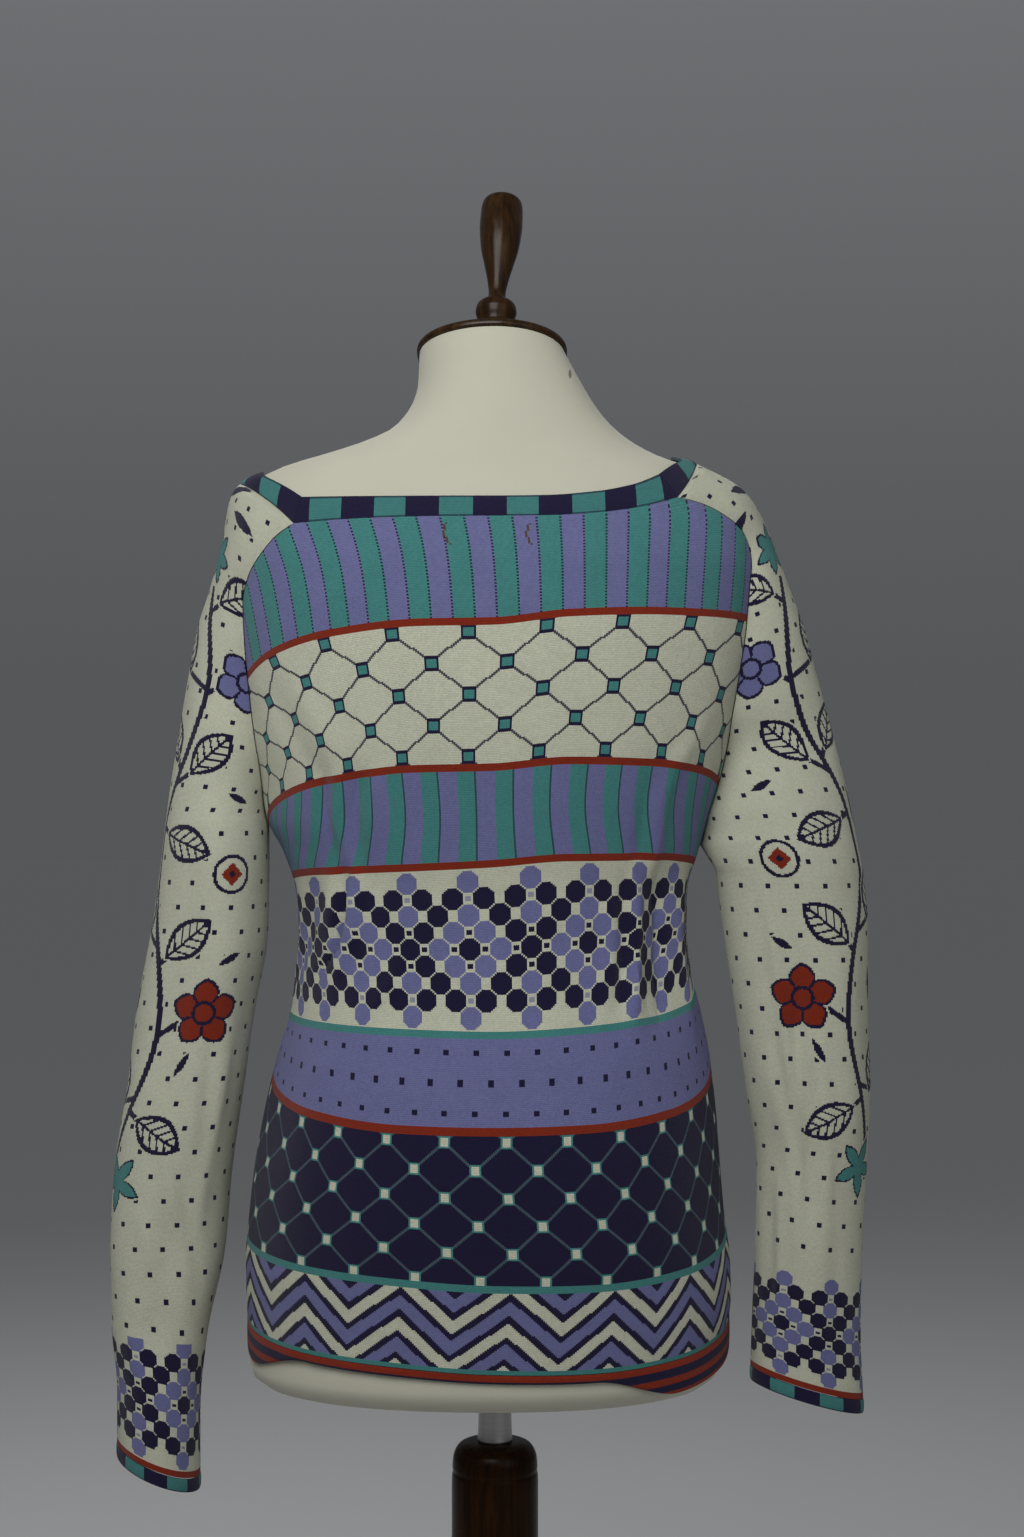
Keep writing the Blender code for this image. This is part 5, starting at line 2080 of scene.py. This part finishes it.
class Clearance(NamedTuple):
    """How far the cloth stands off the form at a height, and how far the form lies to the wearer's left."""

    height: float
    gap: float
    slide: float = 0


CLEARANCES = table(
    Clearance,
    (740, -3, 1.5), (756, -4, 1.5), (768, 1.5, 1), (790, 5.5), (850, 3), (950, 4), (1080, 6),
    (1160, 5), (1250, 2.6), (1330, 1.9), (1375, 1.6), (1390, 1.4), (1410, 1.6), (1497, 1.2),
)


class CapEdge(NamedTuple):
    """A point of the neck cap's edge: its height over the neck, and how far it stands out past the neck."""

    rise: float
    spread: float


@dataclass
class Form:
    """The limbless torso in its smooth cover, with the cap and the turned knob on its neck."""

    columns: int = 128
    ring_from: float = 780
    fine_from: float = 1390
    ring_step: float = 10
    fine_step: float = 4
    plate: float = 7
    plate_from: float = 1120
    plate_to: float = 1385
    plate_ease: float = 50
    plate_power: float = 8
    foot: tuple[Turned, ...] = table(
        Turned,
        (740, 34), (742, 22), (746, 11), (753, 3.5), (762, 0),
    )
    neck_tilt: float = math.radians(20)
    neck_middle: float = -16
    tilt_from: float = 1426
    neck_top: float = 1497
    knob_lean: float = math.radians(3)
    knob_gap: float = 0.5
    cap_edge: tuple[CapEdge, ...] = table(
        CapEdge,
        (0, 0), (0.3, 1.2), (1.3, 2.0), (2.6, 2.1), (3.0, 1.6), (4.6, 1.7), (5.7, 1.0), (6.4, -1.2),
    )
    knob: tuple[Turned, ...] = table(
        Turned,
        (0, 18), (3, 19), (7, 17), (14, 12), (22, 12), (28, 14.3), (32, 15.4), (36, 15),
        (39, 13), (41, 9.5), (44, 7), (48, 6.4), (58, 7.7), (73, 11), (87, 14.2), (98, 15.6),
        (107, 16.2), (120, 15.9), (126, 15.1), (129, 13.3), (130.4, 10), (130.9, 4),
    )

    def ring(self, height: float, inset: float = 0.0, tilted: float = 0.0) -> Array:
        """A ring of the form's skin, closed on itself.

        Args:
            height: Its height.
            inset: How much further in it lies.
            tilted: How much of the neck's slant it takes, from 0 to 1.

        Returns:
            The points.
        """
        gap = WALL + float(column(CLEARANCES, "height", "gap", height)) + inset
        plate = float(ramp(height, self.plate_from, self.plate_from + self.plate_ease))
        plate *= float(ramp(height, self.plate_to, self.plate_to - self.plate_ease))
        angle = np.linspace(0, 2 * HALF, self.columns + 1)
        side = abs(np.sin(angle)) ** self.plate_power * plate * self.plate
        way = BODY_FACE.way(angle, np.full_like(angle, height))
        points = BODY_FACE.point(angle, height) - way * (gap + side)[:, None]
        points[:, 0] += float(column(CLEARANCES, "height", "slide", height))
        if inset or height >= self.neck_top:
            points[:, 2] = height
        points[:, 2] += tilted * (points[:, 1] - self.neck_middle) * math.tan(self.neck_tilt)
        points[-1] = points[0]
        return points

    def build(self) -> None:
        """Makes the torso, its cap and its knob."""
        rings = [self.ring(row.along, row.radius) for row in self.foot]
        coarse = np.arange(self.ring_from, self.fine_from, self.ring_step)
        fine = np.arange(self.fine_from, self.neck_top, self.fine_step)
        for height in (*coarse, *fine, self.neck_top):
            rings.append(self.ring(float(height), tilted=float(ramp(height, self.tilt_from, self.neck_top))))
        made = self.skin("covered_form", rings, FormCloth())
        report(made, TORSO)
        self.cap_and_knob(rings[-1][:-1])

    def skin(self, name: str, rings: Sequence[Array], finish: FormCloth | Wood) -> Object:
        """Draws a solid piece over rings.

        Args:
            name: Its name.
            rings: The rings, from its foot up.
            finish: Its finish.

        Returns:
            The piece, its two ends closed.
        """
        points = np.stack(rings)
        made = Cloth(name, points, points[..., 0], points[..., 2], [finish.dress()], wall=0).lay()
        close_ends(made)
        shade(made, 40)
        return made

    def cap_and_knob(self, neck: Array) -> None:
        """Makes the wooden plate on the neck and the knob that stands square to it."""
        middle = neck.mean(axis=0)
        upward = np.cross([1, 0, 0], [0, math.cos(self.neck_tilt), math.sin(self.neck_tilt)])
        rows = []
        for edge in self.cap_edge:
            ring = neck + unit(neck - middle) * edge.spread + upward * (SEAM + edge.rise)
            rows.append(np.concatenate([ring, ring[:1]]))
        tones = (0.014, 0.0065, 0.0018), (0.045, 0.021, 0.005)
        cap = self.skin("turned_cap", rows, Wood("cap wood", *tones, 0.24, self.neck_tilt, 0.25))
        report(cap, "neck_cap")
        axis = Matrix.Rotation(-self.knob_lean, 3, "Y") @ Vector(upward)
        stand_off = SEAM + self.cap_edge[-1].rise + self.knob_gap
        foot = Vector(middle + upward * stand_off) + axis * self.knob[0].radius * math.sin(self.knob_lean)
        turn = axis.to_track_quat("Z", "Y").to_matrix().to_4x4()
        tones = (0.015, 0.0065, 0.0017), (0.042, 0.0185, 0.0045)
        wood = Wood("knob wood", *tones, 0.24, self.neck_tilt, 0.18).dress()
        knob = TurnedPiece("turned_knob", self.knob, 72).make(wood, Matrix.Translation(foot * MM) @ turn)
        report(knob, "neck_knob")


def standing(node: str) -> tuple[float, float, float]:
    """A CAD node's foot, top and half width, in millimetres."""
    low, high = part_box(node)
    return low.z / MM, high.z / MM, (high.x - low.x) / 2 / MM


@dataclass
class Stand:
    """The base, the post and the steel peg that carries the form."""

    shaft: float = 32
    peg_wide: float = 12.2
    form_foot: float = 739.6

    def base_outline(self) -> tuple[Turned, ...]:
        """The round base, softened at its foot and domed at its edge."""
        foot, top, wide = standing("base")
        return table(
            Turned,
            (foot, wide - 4), (foot + 3, wide), (foot + 16, wide), (top - 4, wide - 6), (top, wide - 18),
        )

    def post_outline(self) -> tuple[Turned, ...]:
        """The post, flared at its foot, with a fine groove under its rounded top."""
        foot, top, wide = standing("post")
        return table(
            Turned,
            (foot, wide), (foot + 8, wide), (foot + 14, wide - 4), (foot + 24, self.shaft + 2),
            (foot + 38, self.shaft), ((foot + top) / 2, self.shaft), (top - 32, self.shaft),
            (top - 24, self.shaft - 0.3), (top - 21.5, self.shaft - 0.9),
            (top - 19, self.shaft - 0.5), (top - 12, self.shaft - 1), (top - 6, self.shaft - 3),
            (top - 2, self.shaft - 6.5), (top, self.shaft - 12),
        )

    def peg_outline(self) -> tuple[Turned, ...]:
        """The peg, from its collar on the post to the form."""
        foot = standing("peg")[0]
        return table(
            Turned,
            (foot + 0.05, self.peg_wide + 0.7), (foot + 0.9, self.peg_wide + 0.9),
            (foot + 4, self.peg_wide + 0.5), (foot + 16, self.peg_wide),
            (self.form_foot - 2, self.peg_wide - 0.4), (self.form_foot, self.peg_wide - 0.6),
        )

    def build(self) -> None:
        """Makes the stand."""
        wood = Wood("stand wood", (0.009, 0.0036, 0.0009), (0.026, 0.0095, 0.002), 0.26, gloss=0.08).dress()
        for node, outline, sides, step, material, slot in (
            ("base", self.base_outline(), 128, 1.5, wood, "dark_wood"),
            ("post", self.post_outline(), 96, 2.0, wood, "dark_wood"),
            ("peg", self.peg_outline(), 64, 1.5, Steel().dress(), "steel"),
        ):
            report(TurnedPiece(f"turned_{node}", outline, sides, step).make(material), node)


# ---------------------------------------------------------------- the studio


class Lamp(NamedTuple):
    """A square soft light: its place, its side, its watts, and whether polished pieces show it as a gloss."""

    name: str
    place: tuple[float, float, float]
    size: float
    power: float
    shines: bool = True


@dataclass
class Studio:
    """A pale floor, soft lights and the camera behind the wearer."""

    eye: tuple[float, float, float] = (-0.0126, 1.8, 1.197)
    lens: float = 57
    floor_size: float = 60
    floor_grey: float = 0.52
    sky_low: float = 0.0995
    sky_high: float = 0.19
    sky_rise: float = 0.45
    aim: tuple[float, float, float] = (0, 0, 1.1)
    lamps: tuple[Lamp, ...] = (
        Lamp("key light", (0.34, 1.3, 2.05), 1.05, 19.5),
        Lamp("fill light", (-1.6, 2.4, 2.0), 2.0, 8),
        Lamp("front light", (0.4, -2.0, 3.0), 2.0, 38, shines=False),
    )

    def camera(self) -> None:
        """Makes the camera, which looks level at the wearer's back."""
        data = bpy.data.cameras.new("camera")
        data.lens = self.lens
        data.sensor_width = 36
        camera = bpy.data.objects.new("camera", data)
        camera.location = self.eye
        camera.rotation_euler = (math.radians(90), 0, math.radians(180))
        bpy.context.scene.collection.objects.link(camera)
        bpy.context.scene.camera = camera

    def floor(self) -> None:
        """Makes the floor."""
        put_down()
        bpy.ops.mesh.primitive_plane_add(size=self.floor_size, location=(0, 0, 0))
        floor = bpy.context.object
        floor.name = "floor"
        floor.data.materials.append(Paint("pale floor").finish((self.floor_grey,) * 3, 0.9))

    def light(self, lamp: Lamp) -> None:
        """Makes a light that faces the cardigan."""
        data = bpy.data.lights.new(lamp.name, "AREA")
        data.size = lamp.size
        data.energy = lamp.power
        made = bpy.data.objects.new(lamp.name, data)
        made.location = lamp.place
        way = Vector(self.aim) - Vector(lamp.place)
        made.rotation_euler = way.to_track_quat("-Z", "Y").to_euler()
        made.visible_glossy = lamp.shines
        bpy.context.scene.collection.objects.link(made)

    def air(self) -> None:
        """Makes the even light all round, which pales upwards from the floor's far edge."""
        world = bpy.data.worlds.new("sky")
        world.use_nodes = True
        nodes = world.node_tree.nodes
        way = nodes.new("ShaderNodeTexCoord").outputs["Generated"]
        parts = feed(nodes.new("ShaderNodeSeparateXYZ"), {"Vector": way})
        rise = nodes.new("ShaderNodeMapRange")
        rise.interpolation_type = "SMOOTHSTEP"
        spans = {"From Max": self.sky_rise, "To Min": self.sky_low, "To Max": self.sky_high}
        feed(rise, {"Value": parts.outputs[2], **spans})
        feed(nodes["Background"], {"Color": (0.93, 0.95, 1.0), "Strength": rise.outputs[0]})
        bpy.context.scene.world = world

    def build(self) -> None:
        """Makes the studio."""
        self.camera()
        self.floor()
        for lamp in self.lamps:
            self.light(lamp)
        self.air()
        bpy.context.scene.view_settings.view_transform = "Standard"


def main() -> None:
    """Builds every sub-assembly in order and reports each piece."""
    logging.basicConfig(level=logging.INFO, format="%(name)s %(message)s")
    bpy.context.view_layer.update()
    Studio().build()
    Stand().build()
    Form().build()
    panels, rib = Panels(), HemRib()
    panels.build()
    NeckTrim().build()
    rib.build(panels)
    FrontBands().build(panels, rib)
    Buttons().build()
    for side in Side:
        Sleeve(side).build()


if __name__ == "__main__":
    main()
